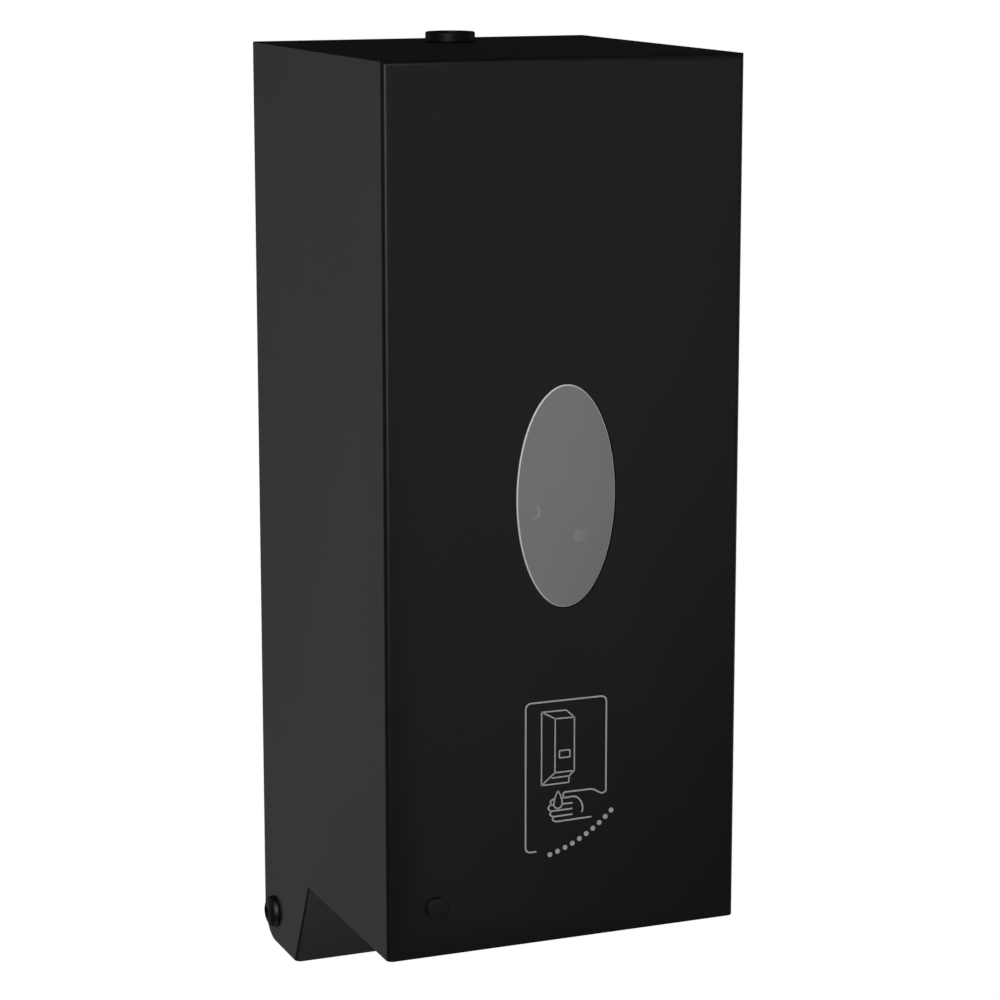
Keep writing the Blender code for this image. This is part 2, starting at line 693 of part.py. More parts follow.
def gear_outline(teeth, centre, phase):
    """Straight sided teeth with room between them, thinner than their gaps."""
    pitch_r = MODULE * teeth / 2
    root = pitch_r - 1.25 * MODULE
    tip = pitch_r + 0.85 * MODULE
    step = math.tau / teeth
    points = []
    for tooth in range(teeth):
        middle = phase + tooth * step
        for radius, offset in ((root, -0.27), (tip, -0.11), (tip, 0.11), (root, 0.27)):
            angle = middle + offset * step
            points.append((centre[0] + radius * math.cos(angle), centre[1] + radius * math.sin(angle)))
    return points


def drive_gear():
    outline = gear_outline(GEAR_TEETH, (PUMP_X, PUMP_Y), math.pi)
    gear = piece("drive_gear", slab(outline, "XY", GEAR_FLOOR, GEAR_TOP), white_acetal())
    return cut(gear, rod(HUB_BORE, 10 * MM, (PUMP_X, PUMP_Y, GEAR_FLOOR - 2 * MM)))


def motor_pinion():
    """The pinion with the motor's shaft; a gap of the pinion faces a tooth of the gear."""
    outline = gear_outline(PINION_TEETH, (MOTOR_X, PUMP_Y), math.pi / PINION_TEETH)
    pinion = piece("motor_pinion", slab(outline, "XY", GEAR_FLOOR, GEAR_TOP), white_acetal())
    foot = GEAR_TOP - MM
    return join(pinion, rod(1.5 * MM, DECK_TOP + GAP / 2 - foot, (MOTOR_X, PUMP_Y, foot), segments=20))


def motor():
    """Can with a rounded shoulder and a small boss on top."""
    radius = 11 * MM
    shoulder = 9.5 * MM
    boss = 4 * MM
    low = DECK_TOP + 1.5 * GAP
    top = SHELF_TOP - 2 * PLATE
    profile = [(0, low), (radius, low), (radius, top - 2 * MM), (shoulder, top - MM), (boss, top - MM),
               (boss, top), (0, top)]
    return piece("motor", turned(profile, (MOTOR_X, PUMP_Y, 0), segments=32), stainless())


def outlet_socket():
    """Cup under the shelf that the tank's outlet drops into."""
    bore = TUBE_R + GAP
    wall_r = 8 * MM
    flange_r = 12 * MM
    flange = 2 * MM
    room_r = 6.0 * MM
    top = SHELF_TOP - PLATE - GAP
    low = top - SOCKET_DEPTH
    profile = [(bore, low), (wall_r, low), (wall_r, top - flange), (flange_r, top - flange), (flange_r, top),
               (room_r, top), (room_r, low + flange), (bore, low + flange)]
    ring = turned(profile, (OUTLET_X, OUTLET_Y, 0), segments=28, ring=True)
    return piece("outlet_socket", ring, grey_plastic())


def smooth_route(points, per_span):
    """Points along a smooth curve through the given ones (Catmull-Rom)."""
    ends = [points[0] * 2 - points[1], *points, points[-1] * 2 - points[-2]]
    route = []
    for index in range(len(points) - 1):
        a, b, c, d = ends[index:index + 4]
        for step in range(per_span):
            t = step / per_span
            route.append(((b * 2) + (c - a) * t + (a * 2 - b * 5 + c * 4 - d) * t ** 2
                          + (b * 3 - a - c * 3 + d) * t ** 3) / 2)
    route.append(points[-1])
    return route


def hose(name, points, radius, material, per_span):
    """A round hose along a smooth route."""
    curve = bpy.data.curves.new(name, "CURVE")
    curve.dimensions = "3D"
    curve.bevel_depth = radius
    curve.bevel_resolution = 2
    curve.use_fill_caps = True
    route = smooth_route([Vector(point) for point in points], per_span)
    spline = curve.splines.new("POLY")
    spline.points.add(len(route) - 1)
    for point, place in zip(spline.points, route):
        point.co = (*place, 1.0)
    obj = bpy.data.objects.new(name, curve)
    bpy.context.scene.collection.objects.link(obj)
    curve.materials.append(material)
    return obj


def pump_tube():
    """From the outlet socket down, once round the rollers, and on to the nozzle."""
    start_z = SHELF_TOP - PLATE - SOCKET_DEPTH + 0.1 * MM
    lead = [(OUTLET_X, OUTLET_Y, start_z), (OUTLET_X, OUTLET_Y, start_z - 9 * MM),
            (OUTLET_X + MM, OUTLET_Y + 4 * MM, TUBE_Z + 5 * MM),
            (OUTLET_X + 10 * MM, PUMP_Y + TUBE_ORBIT - MM, TUBE_Z),
            (PUMP_X - 11 * MM, PUMP_Y + TUBE_ORBIT, TUBE_Z)]
    loop = [(x, y, TUBE_Z) for x, y in arc((PUMP_X, PUMP_Y), TUBE_ORBIT, TUBE_ORBIT, 90, -90, 10)]
    tail = [(PUMP_X - 8 * MM, PUMP_Y - TUBE_ORBIT, TUBE_Z), (0, NOZZLE_Y + 7 * MM, TUBE_Z + MM),
            (0, NOZZLE_Y + 0.5 * MM, TUBE_Z - MM), (0, NOZZLE_Y, -112 * MM)]
    return hose("pump_tube", lead + loop + tail, TUBE_R, silicone(), per_span=2)


def front_carrier():
    """Moulded block at the front that holds the nozzle and the sensor, hung from the deck."""
    low = BELLY + SHEET + 0.8 * MM
    carrier = piece("front_carrier", block((-42 * MM, -110 * MM, low), (14 * MM, -91.8 * MM, CARRIER_TOP)),
                    grey_plastic())
    for x in (-42 * MM, 8 * MM):
        join(carrier, block((x, -108 * MM, CARRIER_TOP - MM), (x + 6 * MM, -102 * MM, DECK_FLOOR - GAP)))
    half_x = EYE_HALF_X + GAP
    half_y = EYE_HALF_Y + GAP
    pocket = block((SENSOR_X - half_x, NOZZLE_Y - half_y, low - MM),
                   (SENSOR_X + half_x, NOZZLE_Y + half_y, CARRIER_TOP + MM))
    return cut(carrier, pocket, rod(NOZZLE_R + GAP, 12 * MM, (0, NOZZLE_Y, low - 3 * MM), segments=28))


def nozzle():
    bore = 1.2 * MM
    flange_r = 6.2 * MM
    tip = BELLY - 1.2 * MM
    flange = CARRIER_TOP + GAP
    top = flange + 1.1 * MM
    profile = [(bore, tip), (2 * bore, tip), (4.0 * MM, tip + 2 * MM), (NOZZLE_R, tip + 3 * MM),
               (NOZZLE_R, flange), (flange_r, flange), (flange_r, top), (bore, top)]
    return piece("nozzle", turned(profile, (0, NOZZLE_Y, 0), segments=28, ring=True), black_plastic())


def sensor_eye():
    low = BELLY + SHEET + MM
    rim = MM
    body = block((SENSOR_X - EYE_HALF_X, NOZZLE_Y - EYE_HALF_Y, low),
                 (SENSOR_X + EYE_HALF_X, NOZZLE_Y + EYE_HALF_Y, CARRIER_TOP + MM))
    eye = piece("sensor_eye", body, black_plastic())
    half_x = EYE_HALF_X - rim
    half_y = EYE_HALF_Y - rim
    window = block((SENSOR_X - half_x, NOZZLE_Y - half_y, low - MM),
                   (SENSOR_X + half_x, NOZZLE_Y + half_y, low + MM))
    return cut(eye, window)


def sensor_window():
    low = BELLY + SHEET + 0.6 * MM
    half_x = EYE_HALF_X - MM - GAP
    half_y = EYE_HALF_Y - MM - GAP
    return piece("sensor_window", block((SENSOR_X - half_x, NOZZLE_Y - half_y, low),
                                        (SENSOR_X + half_x, NOZZLE_Y + half_y, low + 1.2 * MM)), ir_plastic())


# ---- Batteries and electronics ---------------------------------------------------------------------
def cell_places():
    """Y and Z of the four cells' axes, in two rows of two."""
    inset = BOX_WALL + 0.3 * MM + CELL_R
    rows = (BOX_FLOOR + inset, BOX_TOP - inset)
    columns = (BOX_BACK - inset, BOX_FRONT + inset)
    return [(y, z) for z in rows for y in columns]


def battery_box():
    """Box open on the left, with a notch in its top that the door's contact slides through."""
    case = piece("battery_box", block((-BOX_HALF, BOX_FRONT, BOX_FLOOR), (BOX_HALF, BOX_BACK, BOX_TOP)),
                 black_plastic())
    room = block((-BOX_HALF - MM, BOX_FRONT + BOX_WALL, BOX_FLOOR + BOX_WALL),
                 (BOX_HALF - BOX_WALL, BOX_BACK - BOX_WALL, BOX_TOP - BOX_WALL))
    inset = CONTACT_INSET - 0.5 * MM
    notch = block((-BOX_HALF - MM, BOX_FRONT + inset, BOX_TOP - 2 * BOX_WALL),
                  (-BOX_HALF + 0.9 * MM, BOX_BACK - inset, BOX_TOP + MM))
    cut(case, room, notch)
    foot_half = 5 * MM
    feet = [block((x - foot_half, BOX_BACK - MM, BOX_FLOOR + 10 * MM),
                  (x + foot_half, -PLATE - GAP, BOX_TOP - 8 * MM))
            for x in (-18 * MM, 18 * MM)]
    return join(case, *feet)


def batteries():
    """Four AA cells; each has its nub at the other end from its neighbour."""
    nub = 2.7 * MM
    corner = 0.6 * MM
    shoulder = CELL_R - MM
    body = CELL_LENGTH - 1.3 * MM
    profile = [(0, 0), (shoulder, 0), (CELL_R, corner), (CELL_R, body - corner), (shoulder, body),
               (nub, body), (nub, CELL_LENGTH), (0, CELL_LENGTH)]
    left = -BOX_HALF + MM
    cells = []
    for number, (y, z) in enumerate(cell_places()):
        if number % 2:
            bm = turned(profile, (left + CELL_LENGTH, y, z), "-X")
        else:
            bm = turned(profile, (left, y, z), "+X")
        cells.append(piece("battery_%d" % (number + 1), bm, cell_wrap()))
    return cells


def contact_plate(name, x):
    """Spring steel plate at one end of the cells."""
    half = 0.15 * MM
    low = (x - half, BOX_FRONT + CONTACT_INSET, BOX_FLOOR + CONTACT_INSET)
    high = (x + half, BOX_BACK - CONTACT_INSET, BOX_TOP - CONTACT_INSET)
    return piece(name, block(low, high), stainless())


def battery_door():
    """Door on the box's open side with finger ribs; it slides up to open."""
    face = -BOX_HALF - GAP
    inset = 0.4 * MM
    sheet = 1.8 * MM
    door = piece("battery_door", block((face - sheet, BOX_FRONT + inset, BOX_FLOOR + inset),
                                       (face, BOX_BACK - inset, BOX_TOP - inset)), black_plastic())
    rib_inset = 10 * MM
    for step in range(4):
        z = BOX_TOP - (8 + 2.5 * step) * MM
        join(door, block((face - sheet - 0.6 * MM, BOX_FRONT + rib_inset, z),
                         (face - sheet / 2, BOX_BACK - rib_inset, z + 1.2 * MM)))
    return door


def circuit_board():
    board = piece("circuit_board",
                  block((BOARD_X, BOARD_FRONT, BOARD_FLOOR), (BOARD_X + 1.6 * MM, BOARD_BACK, BOARD_TOP)),
                  board_green())
    inset = 4 * MM
    holes = [rod(1.6 * MM, 8 * MM, (BOARD_X - 3 * MM, y, BOARD_FLOOR + inset), "+X", 16)
             for y in (BOARD_FRONT + inset, BOARD_BACK - inset)]
    return cut(board, *holes)


def board_block(name, depth, middle, half_y, half_z, material):
    """A part that stands on the board's outer face."""
    y, z = middle
    low = (BOARD_FACE - depth, y - half_y, z - half_z)
    return piece(name, block(low, (BOARD_FACE, y + half_y, z + half_z)), material)


def board_parts():
    chip = board_block("control_chip", 2 * MM, (-72 * MM, -101 * MM), 6 * MM, 5 * MM, black_plastic())
    plug = board_block("cable_connector", 6 * MM, (-88 * MM, -102 * MM), 4 * MM, 8 * MM, white_acetal())
    can = piece("capacitor", rod(3.2 * MM, 6.5 * MM, (BOARD_FACE, -57 * MM, -103 * MM), "-X"),
                black_plastic())
    return [chip, plug, can]


def switch_case():
    """Metal can of the slide switch with a slot for its knob."""
    depth = 4 * MM
    case = board_block("switch_case", depth, (SWITCH_Y, SWITCH_Z), 7 * MM, 4 * MM, stainless())
    slot = block((BOARD_FACE - depth - MM, SWITCH_Y - 5 * MM, SWITCH_Z - 2 * MM),
                 (BOARD_FACE - depth / 2, SWITCH_Y + 5 * MM, SWITCH_Z + 2 * MM))
    return cut(case, slot)


def button_case():
    case = board_block("button_case", 3.5 * MM, (BUTTON_Y, BUTTON_Z), 5 * MM, 5 * MM, black_plastic())
    return cut(case, rod(2.4 * MM, 4 * MM, (BOARD_FACE - 1.2 * MM, BUTTON_Y, BUTTON_Z), "-X"))


def switch_knob():
    return piece("switch_knob", block((BOARD_FACE - 6.2 * MM, SWITCH_Y + 0.5 * MM, SWITCH_Z - 1.7 * MM),
                                      (BOARD_FACE - 2.3 * MM, SWITCH_Y + 4.5 * MM, SWITCH_Z + 1.7 * MM)),
                 white_acetal())


def dose_button():
    radius = 2.0 * MM
    height = 4.0 * MM
    chamfer = 0.4 * MM
    profile = [(0, 0), (radius, 0), (radius, height - chamfer), (radius - chamfer, height), (0, height)]
    bm = turned(profile, (BOARD_FACE - 2.2 * MM, BUTTON_Y, BUTTON_Z), "-X")
    return piece("dose_button", bm, red_plastic())


# ---- Tank ------------------------------------------------------------------------------------------
def tank_body(inset, corner):
    """The tank's rounded box, smaller by the inset on every side."""
    bm = block((-TANK_HALF + inset, TANK_FRONT + inset, TANK_FLOOR + inset),
               (TANK_HALF - inset, TANK_BACK - inset, TANK_TOP - inset))
    round_upright_edges(bm, corner)
    return bm


def soap_tank():
    """Blow moulded tank: rounded box, filling neck on top, outlet hole underneath."""
    tank = piece("soap_tank", tank_body(0, 9 * MM), tank_plastic())
    root = TANK_TOP - MM
    join(tank, rod(NECK_R, NECK_TOP - root, (0, NECK_Y, root), segments=28))
    lug_half = 2.5 * MM
    for y in (NECK_Y - 7 * MM, NECK_Y + 4 * MM):
        join(tank, block((LID_HINGE_X - lug_half, y, root),
                         (LID_HINGE_X + lug_half, y + 3 * MM, LID_HINGE_Z + lug_half)))
    return cut(tank, tank_body(TANK_WALL, 9 * MM - TANK_WALL),
               rod(NECK_BORE, 12 * MM, (0, NECK_Y, TANK_TOP - 5 * MM), segments=28),
               rod(5.9 * MM, 8 * MM, (OUTLET_X, OUTLET_Y, TANK_FLOOR - 3 * MM), segments=28),
               hinge_hole())


def outlet_valve():
    """Flanged nipple that hangs through the tank's floor into the outlet socket."""
    bore = 2.0 * MM
    barrel_r = 5.6 * MM
    flange_r = 9 * MM
    floor = TANK_FLOOR + TANK_WALL + GAP
    top = floor + 1.6 * MM
    tip = SHELF_TOP - PLATE - 10.0 * MM
    profile = [(bore, tip), (4.5 * MM, tip), (barrel_r, tip + 2 * MM), (barrel_r, floor), (flange_r, floor),
               (flange_r, top), (bore, top)]
    ring = turned(profile, (OUTLET_X, OUTLET_Y, 0), segments=28, ring=True)
    return piece("outlet_valve", ring, white_acetal())


def hinge_hole():
    length = 30 * MM
    return rod(LID_PIN_R + GAP, length, (LID_HINGE_X, NECK_Y - length / 2, LID_HINGE_Z), "+Y", 20)


def lid_pin():
    length = 14 * MM
    return piece("lid_pin", rod(LID_PIN_R, length, (LID_HINGE_X, NECK_Y - length / 2, LID_HINGE_Z), "+Y", 20),
                 stainless())


def tank_lid():
    """Cap over the neck with a knuckle that turns on the pin between the tank's two lugs."""
    low = NECK_TOP + GAP
    top = low + 2 * MM
    corner = 0.6 * MM
    plug_r = NECK_BORE - 0.5 * MM
    plug_low = low - 3 * MM
    profile = [(0, plug_low), (plug_r, plug_low), (plug_r, low), (LID_R, low), (LID_R, top - corner),
               (LID_R - corner, top), (0, top)]
    lid = piece("tank_lid", turned(profile, (0, NECK_Y, 0), segments=28), tank_plastic())
    half = 3.5 * MM
    join(lid, block((LID_HINGE_X, NECK_Y - half, low), (-LID_R + 2 * MM, NECK_Y + half, top - corner / 2)))
    join(lid, rod(2.4 * MM, 2 * half, (LID_HINGE_X, NECK_Y - half, LID_HINGE_Z), "+Y"))
    return cut(lid, hinge_hole())


# ---- Lead ------------------------------------------------------------------------------------------
def motor_lead():
    """Insulated lead from the board's connector over the deck to the motor's side."""
    start_x = BOARD_X - 3.2 * MM
    lead_y = -88 * MM
    over_deck = -78 * MM
    points = [(start_x, lead_y, -93.5 * MM), (start_x, lead_y, -77 * MM),
              (BOARD_X + MM, lead_y, BOARD_TOP + 3 * MM), (-39 * MM, -86 * MM, -74 * MM),
              (-28 * MM, -80 * MM, over_deck), (MOTOR_X - 14 * MM, PUMP_Y - 4 * MM, over_deck),
              (MOTOR_X - 11.9 * MM, PUMP_Y, over_deck)]
    return hose("motor_lead", points, 0.7 * MM, wire_red(), per_span=3)


# ---- Bodies ----------------------------------------------------------------------------------------
def joint_at(name, place, pieces, parent=None):
    """An empty on the joint's axis that carries the pieces of one moving body."""
    axis = bpy.data.objects.new(name, None)
    bpy.context.scene.collection.objects.link(axis)
    axis.empty_display_size = 10 * MM
    axis.location = place
    if parent:
        axis.parent = parent
        axis.matrix_parent_inverse = Matrix.Translation(parent.matrix_world.translation).inverted()
    bpy.context.view_layer.update()
    for item in pieces:
        item.parent = axis
        item.matrix_parent_inverse = axis.matrix_world.inverted()
    return axis


def build():
    clear_scene()
    cover = joint_at("cover_axis", (0, PIVOT_Y, PIVOT_Z),
                     [cover_shell(), window_pane(), window_frame(), indicator_lens(), indicator_clip(),
                      lock_housing(), lock_nut()])
    joint_at("lock_axis", (0, LOCK_Y, TOP), [lock_plug(), lock_cam(), cam_screw()], cover)
    back_plate()
    latch_bracket()
    for word, axis, side in (("left", "-X", -1), ("right", "+X", 1)):
        pivot_bush(word, axis, side)
        pivot_screw(word, axis, side)
        pivot_nut(word, side)
    tank_shelf()
    pump_deck()
    pump_spacers()
    pump_cup()
    motor()
    outlet_socket()
    pump_tube()
    front_carrier()
    nozzle()
    sensor_eye()
    sensor_window()
    battery_box()
    batteries()
    circuit_board()
    board_parts()
    switch_case()
    button_case()
    motor_lead()
    contact_plate("battery_contact_right", BOX_HALF - BOX_WALL - 0.5 * MM)
    joint_at("battery_door_axis", (-BOX_HALF, (BOX_BACK + BOX_FRONT) / 2, BOX_FLOOR),
             [battery_door(), contact_plate("battery_contact_left", -BOX_HALF + 0.3 * MM)])
    joint_at("switch_axis", (BOARD_X, SWITCH_Y, SWITCH_Z), [switch_knob()])
    joint_at("button_axis", (BOARD_X, BUTTON_Y, BUTTON_Z), [dose_button()])
    rotor = joint_at("pump_axis", (PUMP_X, PUMP_Y, CUP_FLOOR), [pump_shaft(), pump_rotor(), drive_gear()])
    for number, roller in enumerate(pump_rollers()):
        joint_at("roller_%d_axis" % (number + 1), (*roller_place(number), CUP_FLOOR), [roller], rotor)
    joint_at("pinion_axis", (MOTOR_X, PUMP_Y, GEAR_FLOOR), [motor_pinion()])
    tank = joint_at("tank_axis", (0, NECK_Y, SHELF_TOP), [soap_tank(), outlet_valve(), lid_pin()])
    joint_at("lid_axis", (LID_HINGE_X, NECK_Y, LID_HINGE_Z), [tank_lid()], tank)


build()
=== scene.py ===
# %% [markdown]
# # A wall soap dispenser with a folded steel cover
# This lesson dresses a finished CAD model: a touch-free soap dispenser whose black cover tilts forward
# off a back plate. The CAD settles every size and every joint. Here each visible piece gets the fine
# shape and the finish that make it look real, and nothing is moved or resized.

# %% Load the CAD frame
import json
import math

import bmesh
import bpy
from mathutils import Matrix, Vector

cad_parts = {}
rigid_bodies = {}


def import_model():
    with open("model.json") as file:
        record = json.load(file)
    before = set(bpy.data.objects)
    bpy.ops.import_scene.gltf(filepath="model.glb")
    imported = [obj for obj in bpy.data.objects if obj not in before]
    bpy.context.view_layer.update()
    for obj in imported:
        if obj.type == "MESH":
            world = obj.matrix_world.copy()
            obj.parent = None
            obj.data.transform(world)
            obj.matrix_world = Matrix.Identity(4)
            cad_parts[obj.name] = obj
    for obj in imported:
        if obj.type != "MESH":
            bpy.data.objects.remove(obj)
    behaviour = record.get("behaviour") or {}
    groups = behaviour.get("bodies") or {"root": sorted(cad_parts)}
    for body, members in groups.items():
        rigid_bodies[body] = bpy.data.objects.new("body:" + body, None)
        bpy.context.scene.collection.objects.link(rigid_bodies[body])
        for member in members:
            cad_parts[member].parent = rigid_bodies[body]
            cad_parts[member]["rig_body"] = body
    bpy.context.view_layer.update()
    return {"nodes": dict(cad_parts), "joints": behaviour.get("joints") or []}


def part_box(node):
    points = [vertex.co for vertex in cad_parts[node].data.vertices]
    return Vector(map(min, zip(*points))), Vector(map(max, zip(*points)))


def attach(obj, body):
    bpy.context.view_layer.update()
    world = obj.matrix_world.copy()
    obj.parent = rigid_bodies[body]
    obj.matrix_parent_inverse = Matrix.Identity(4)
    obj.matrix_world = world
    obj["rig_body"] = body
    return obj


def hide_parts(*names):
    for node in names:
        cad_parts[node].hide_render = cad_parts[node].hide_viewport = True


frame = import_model()
nodes = frame["nodes"]
MM = 0.001

# %% [markdown]
# ## Where things are
# Every place below is read from the CAD nodes, so the looks follow the design if a size changes. A box
# gives the cover's outer faces, and the joints give the axes that the screws and the lock sit on.

# %% Places read from the frame
shell_low, shell_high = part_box("cover_shell")
HALF = shell_high.x
FRONT = shell_low.y
REAR = shell_high.y
BOTTOM = shell_low.z
TOP = shell_high.z
joints = {joint["name"]: joint for joint in frame["joints"]}
PIVOT = Vector(joints["cover_hinge"]["pos_m"])
LOCK = Vector(joints["lock_turn"]["pos_m"])
SHEET = 1.2 * MM
BELLY = BOTTOM + 29.6 * MM
SKIRT_TOP = FRONT + 75.5 * MM
SKIRT_FOOT = FRONT + 88.5 * MM
cover_size = [round(length / MM, 1) for length in (2 * HALF, REAR - FRONT, TOP - BOTTOM)]
print("cover", cover_size, "mm")

# %% [markdown]
# ## The camera
# A long lens keeps the tall box from leaning. The camera stands a little to the left of the front and
# above the top, so the left side, the front and a thin slice of the top all show. A small downward shift
# of the frame brings the upright edges closer to parallel. A larger one would cut the object off when
# the camera moves round it.

# %% Camera
camera_data = bpy.data.cameras.new("camera")
camera = bpy.data.objects.new("camera", camera_data)
bpy.context.scene.collection.objects.link(camera)
bpy.context.scene.camera = camera
camera_data.lens = 109.56
camera_data.sensor_width = 36.0
camera_data.shift_y = -0.05
camera_data.clip_end = 100.0
camera.location = (-356.4 * MM, -945.5 * MM, 199.2 * MM)
look_down = 10.50
look_right = 22.14
camera.rotation_euler = (math.radians(90 - look_down), 0, math.radians(-look_right))
bpy.context.scene.view_settings.view_transform = "Standard"
print("camera", round(camera.location.length, 3), "m away, lens", round(camera_data.lens, 2), "mm")


# %% [markdown]
# ## Helpers for shapes
# Four steps cover almost every piece: spin a profile, extrude an outline, cut one shape out of another,
# and hand a finished mesh over as an object that rides on its body. Each finished object sits at the
# origin with its place in its mesh, which keeps object coordinates the same as the CAD frame.

# %% Shape helpers
UP = Matrix.Identity(4)
LEFT = Matrix.Rotation(-math.pi / 2, 4, "Y")
RIGHT = Matrix.Rotation(math.pi / 2, 4, "Y")
OUT = Matrix.Rotation(math.pi / 2, 4, "X")


def object_from(name, bm, sharp=35):
    """A bmesh as an object, smooth except where faces meet at more than the sharp angle."""
    mesh = bpy.data.meshes.new(name)
    bm.to_mesh(mesh)
    bm.free()
    mesh.shade_smooth()
    mesh.set_sharp_from_angle(angle=math.radians(sharp))
    piece = bpy.data.objects.new(name, mesh)
    bpy.context.scene.collection.objects.link(piece)
    return piece


def turned(profile, place, turn=UP, segments=64, ring=False):
    """Spin (radius, height) points about an axis, as on a lathe."""
    bm = bmesh.new()
    verts = [bm.verts.new((radius, 0, height)) for radius, height in profile]
    pairs = list(zip(verts, verts[1:])) + ([(verts[-1], verts[0])] if ring else [])
    edges = [bm.edges.new(pair) for pair in pairs]
    bmesh.ops.spin(bm, geom=verts + edges, cent=(0, 0, 0), axis=(0, 0, 1), angle=math.tau,
                   steps=segments, use_merge=True, use_duplicate=False)
    bmesh.ops.remove_doubles(bm, verts=bm.verts, dist=1e-7)
    bmesh.ops.recalc_face_normals(bm, faces=bm.faces)
    bmesh.ops.transform(bm, matrix=Matrix.Translation(place) @ turn, verts=bm.verts)
    return bm


def arc(centre, radius_a, radius_b, start, end, steps):
    """Points on a circle or an ellipse, angles in degrees."""
    angles = [math.radians(start + (end - start) * step / steps) for step in range(steps + 1)]
    return [(centre[0] + radius_a * math.cos(a), centre[1] + radius_b * math.sin(a)) for a in angles]


def oval(centre, radius_a, radius_b, steps=128):
    return arc(centre, radius_a, radius_b, 0, 360 - 360 / steps, steps - 1)


def slab(outline, plane, start, end):
    """Extrude a closed outline that is drawn in the YZ, XZ or XY plane."""
    bm = bmesh.new()
    layout = {"YZ": lambda p: (start, p[0], p[1]), "XZ": lambda p: (p[0], start, p[1]),
              "XY": lambda p: (p[0], p[1], start)}
    travel = {"YZ": (end - start, 0, 0), "XZ": (0, end - start, 0), "XY": (0, 0, end - start)}
    face = bm.faces.new([bm.verts.new(layout[plane](point)) for point in outline])
    grown = bmesh.ops.extrude_face_region(bm, geom=[face])
    moved = [item for item in grown["geom"] if isinstance(item, bmesh.types.BMVert)]
    bmesh.ops.translate(bm, vec=travel[plane], verts=moved)
    bmesh.ops.recalc_face_normals(bm, faces=bm.faces)
    return bm


def block(low, high):
    bm = bmesh.new()
    low, high = Vector(low), Vector(high)
    bmesh.ops.create_cube(bm, size=1.0)
    bmesh.ops.scale(bm, vec=high - low, verts=bm.verts)
    bmesh.ops.translate(bm, vec=(low + high) / 2, verts=bm.verts)
    return bm


trial = slab(oval((0, 0), 16 * MM, 34 * MM, 32), "XZ", 0, MM)
print("a trial oval slab has", len(trial.faces), "faces")
trial.free()


# %% [markdown]
# Cutting and softening use modifiers, as in the editor, but each one is applied at once, so the next step
# starts from a plain mesh. Most inner pieces already have their shape in the CAD model as loose triangles.
# A copy of such a mesh is merged, its flat faces are joined, and then a small round on each edge is all
# that it needs.

# %% Cutting, softening and handing over
def bake_modifiers(piece):
    """Keep what the modifiers make as the piece's own mesh."""
    graph = bpy.context.evaluated_depsgraph_get()
    result = bpy.data.meshes.new_from_object(piece.evaluated_get(graph))
    piece.modifiers.clear()
    piece.data = result
    return piece


def combine(piece, tools, operation="DIFFERENCE"):
    for bm in tools:
        tool = object_from("tool", bm)
        step = piece.modifiers.new("shape", "BOOLEAN")
        step.operation = operation
        step.solver = "EXACT"
        step.object = tool
        bake_modifiers(piece)
        bpy.data.objects.remove(tool)
    return piece


def soft_edges(piece, width, angle=40, segments=2):
    """A small round on every edge sharper than the angle, so that edges catch the light."""
    bevel = piece.modifiers.new("soft_edges", "BEVEL")
    bevel.width = width
    bevel.segments = segments
    bevel.limit_method = "ANGLE"
    bevel.angle_limit = math.radians(angle)
    bevel.use_clamp_overlap = True
    bevel.harden_normals = True
    bake_modifiers(piece)
    return piece


def hand_over(piece, body, finish, stands_for=()):
    """Give a piece its finish, and let it ride on a body in place of the CAD nodes that it stands for."""
    piece.data.materials.clear()
    piece.data.materials.append(finish)
    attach(piece, body)
    for node in stands_for:
        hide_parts(node)
    return piece


def refine(node, finish, width=0.25 * MM, segments=2):
    """A copy of a CAD node with its triangles joined into flat faces and its edges softened."""
    bm = bmesh.new()
    bm.from_mesh(nodes[node].data)
    bmesh.ops.remove_doubles(bm, verts=bm.verts, dist=1e-6)
    bmesh.ops.dissolve_limit(bm, angle_limit=math.radians(1), verts=bm.verts, edges=bm.edges)
    piece = object_from(node + "_fine", bm)
    soft_edges(piece, width, segments=segments)
    return hand_over(piece, nodes[node]["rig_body"], finish, [node])


def refined_so_far():
    return sum(piece.name.endswith("_fine") for piece in bpy.data.objects)


print("CAD pieces to dress", len(nodes))


# %% [markdown]
# ## Helpers for finishes
# A finish is a Principled shader plus a little procedural detail. Writing shader maths as Python sums is
# easier to read than a list of links, so a small class wraps a socket and each sum on it adds a Math
# node.

# %% Finish helpers
class Value:
    """One output of a node tree. Sums and products on it add Math nodes."""

    def __init__(self, tree, socket):
        self.tree = tree
        self.socket = socket

    def math(self, operation, first, second):
        node = self.tree.nodes.new("ShaderNodeMath")
        node.operation = operation
        for socket, value in zip(node.inputs, (first, second)):
            if isinstance(value, Value):
                self.tree.links.new(value.socket, socket)
            else:
                socket.default_value = value
        return Value(self.tree, node.outputs[0])

    def __add__(self, other):
        return self.math("ADD", self, other)

    def __sub__(self, other):
        return self.math("SUBTRACT", self, other)

    def __mul__(self, other):
        return self.math("MULTIPLY", self, other)

    def __truediv__(self, other):
        return self.math("DIVIDE", self, other)

    def __gt__(self, other):
        return self.math("GREATER_THAN", self, other)

    def __lt__(self, other):
        return self.math("LESS_THAN", self, other)

    def __rsub__(self, other):
        return self.math("SUBTRACT", other, self)

    __radd__ = __add__
    __rmul__ = __mul__


# A Mix node has sockets for each kind of data. These are the numbers of the ones for colours.
MIX_FACTOR, MIX_FIRST, MIX_SECOND = 0, 6, 7
MIX_RESULT = 2


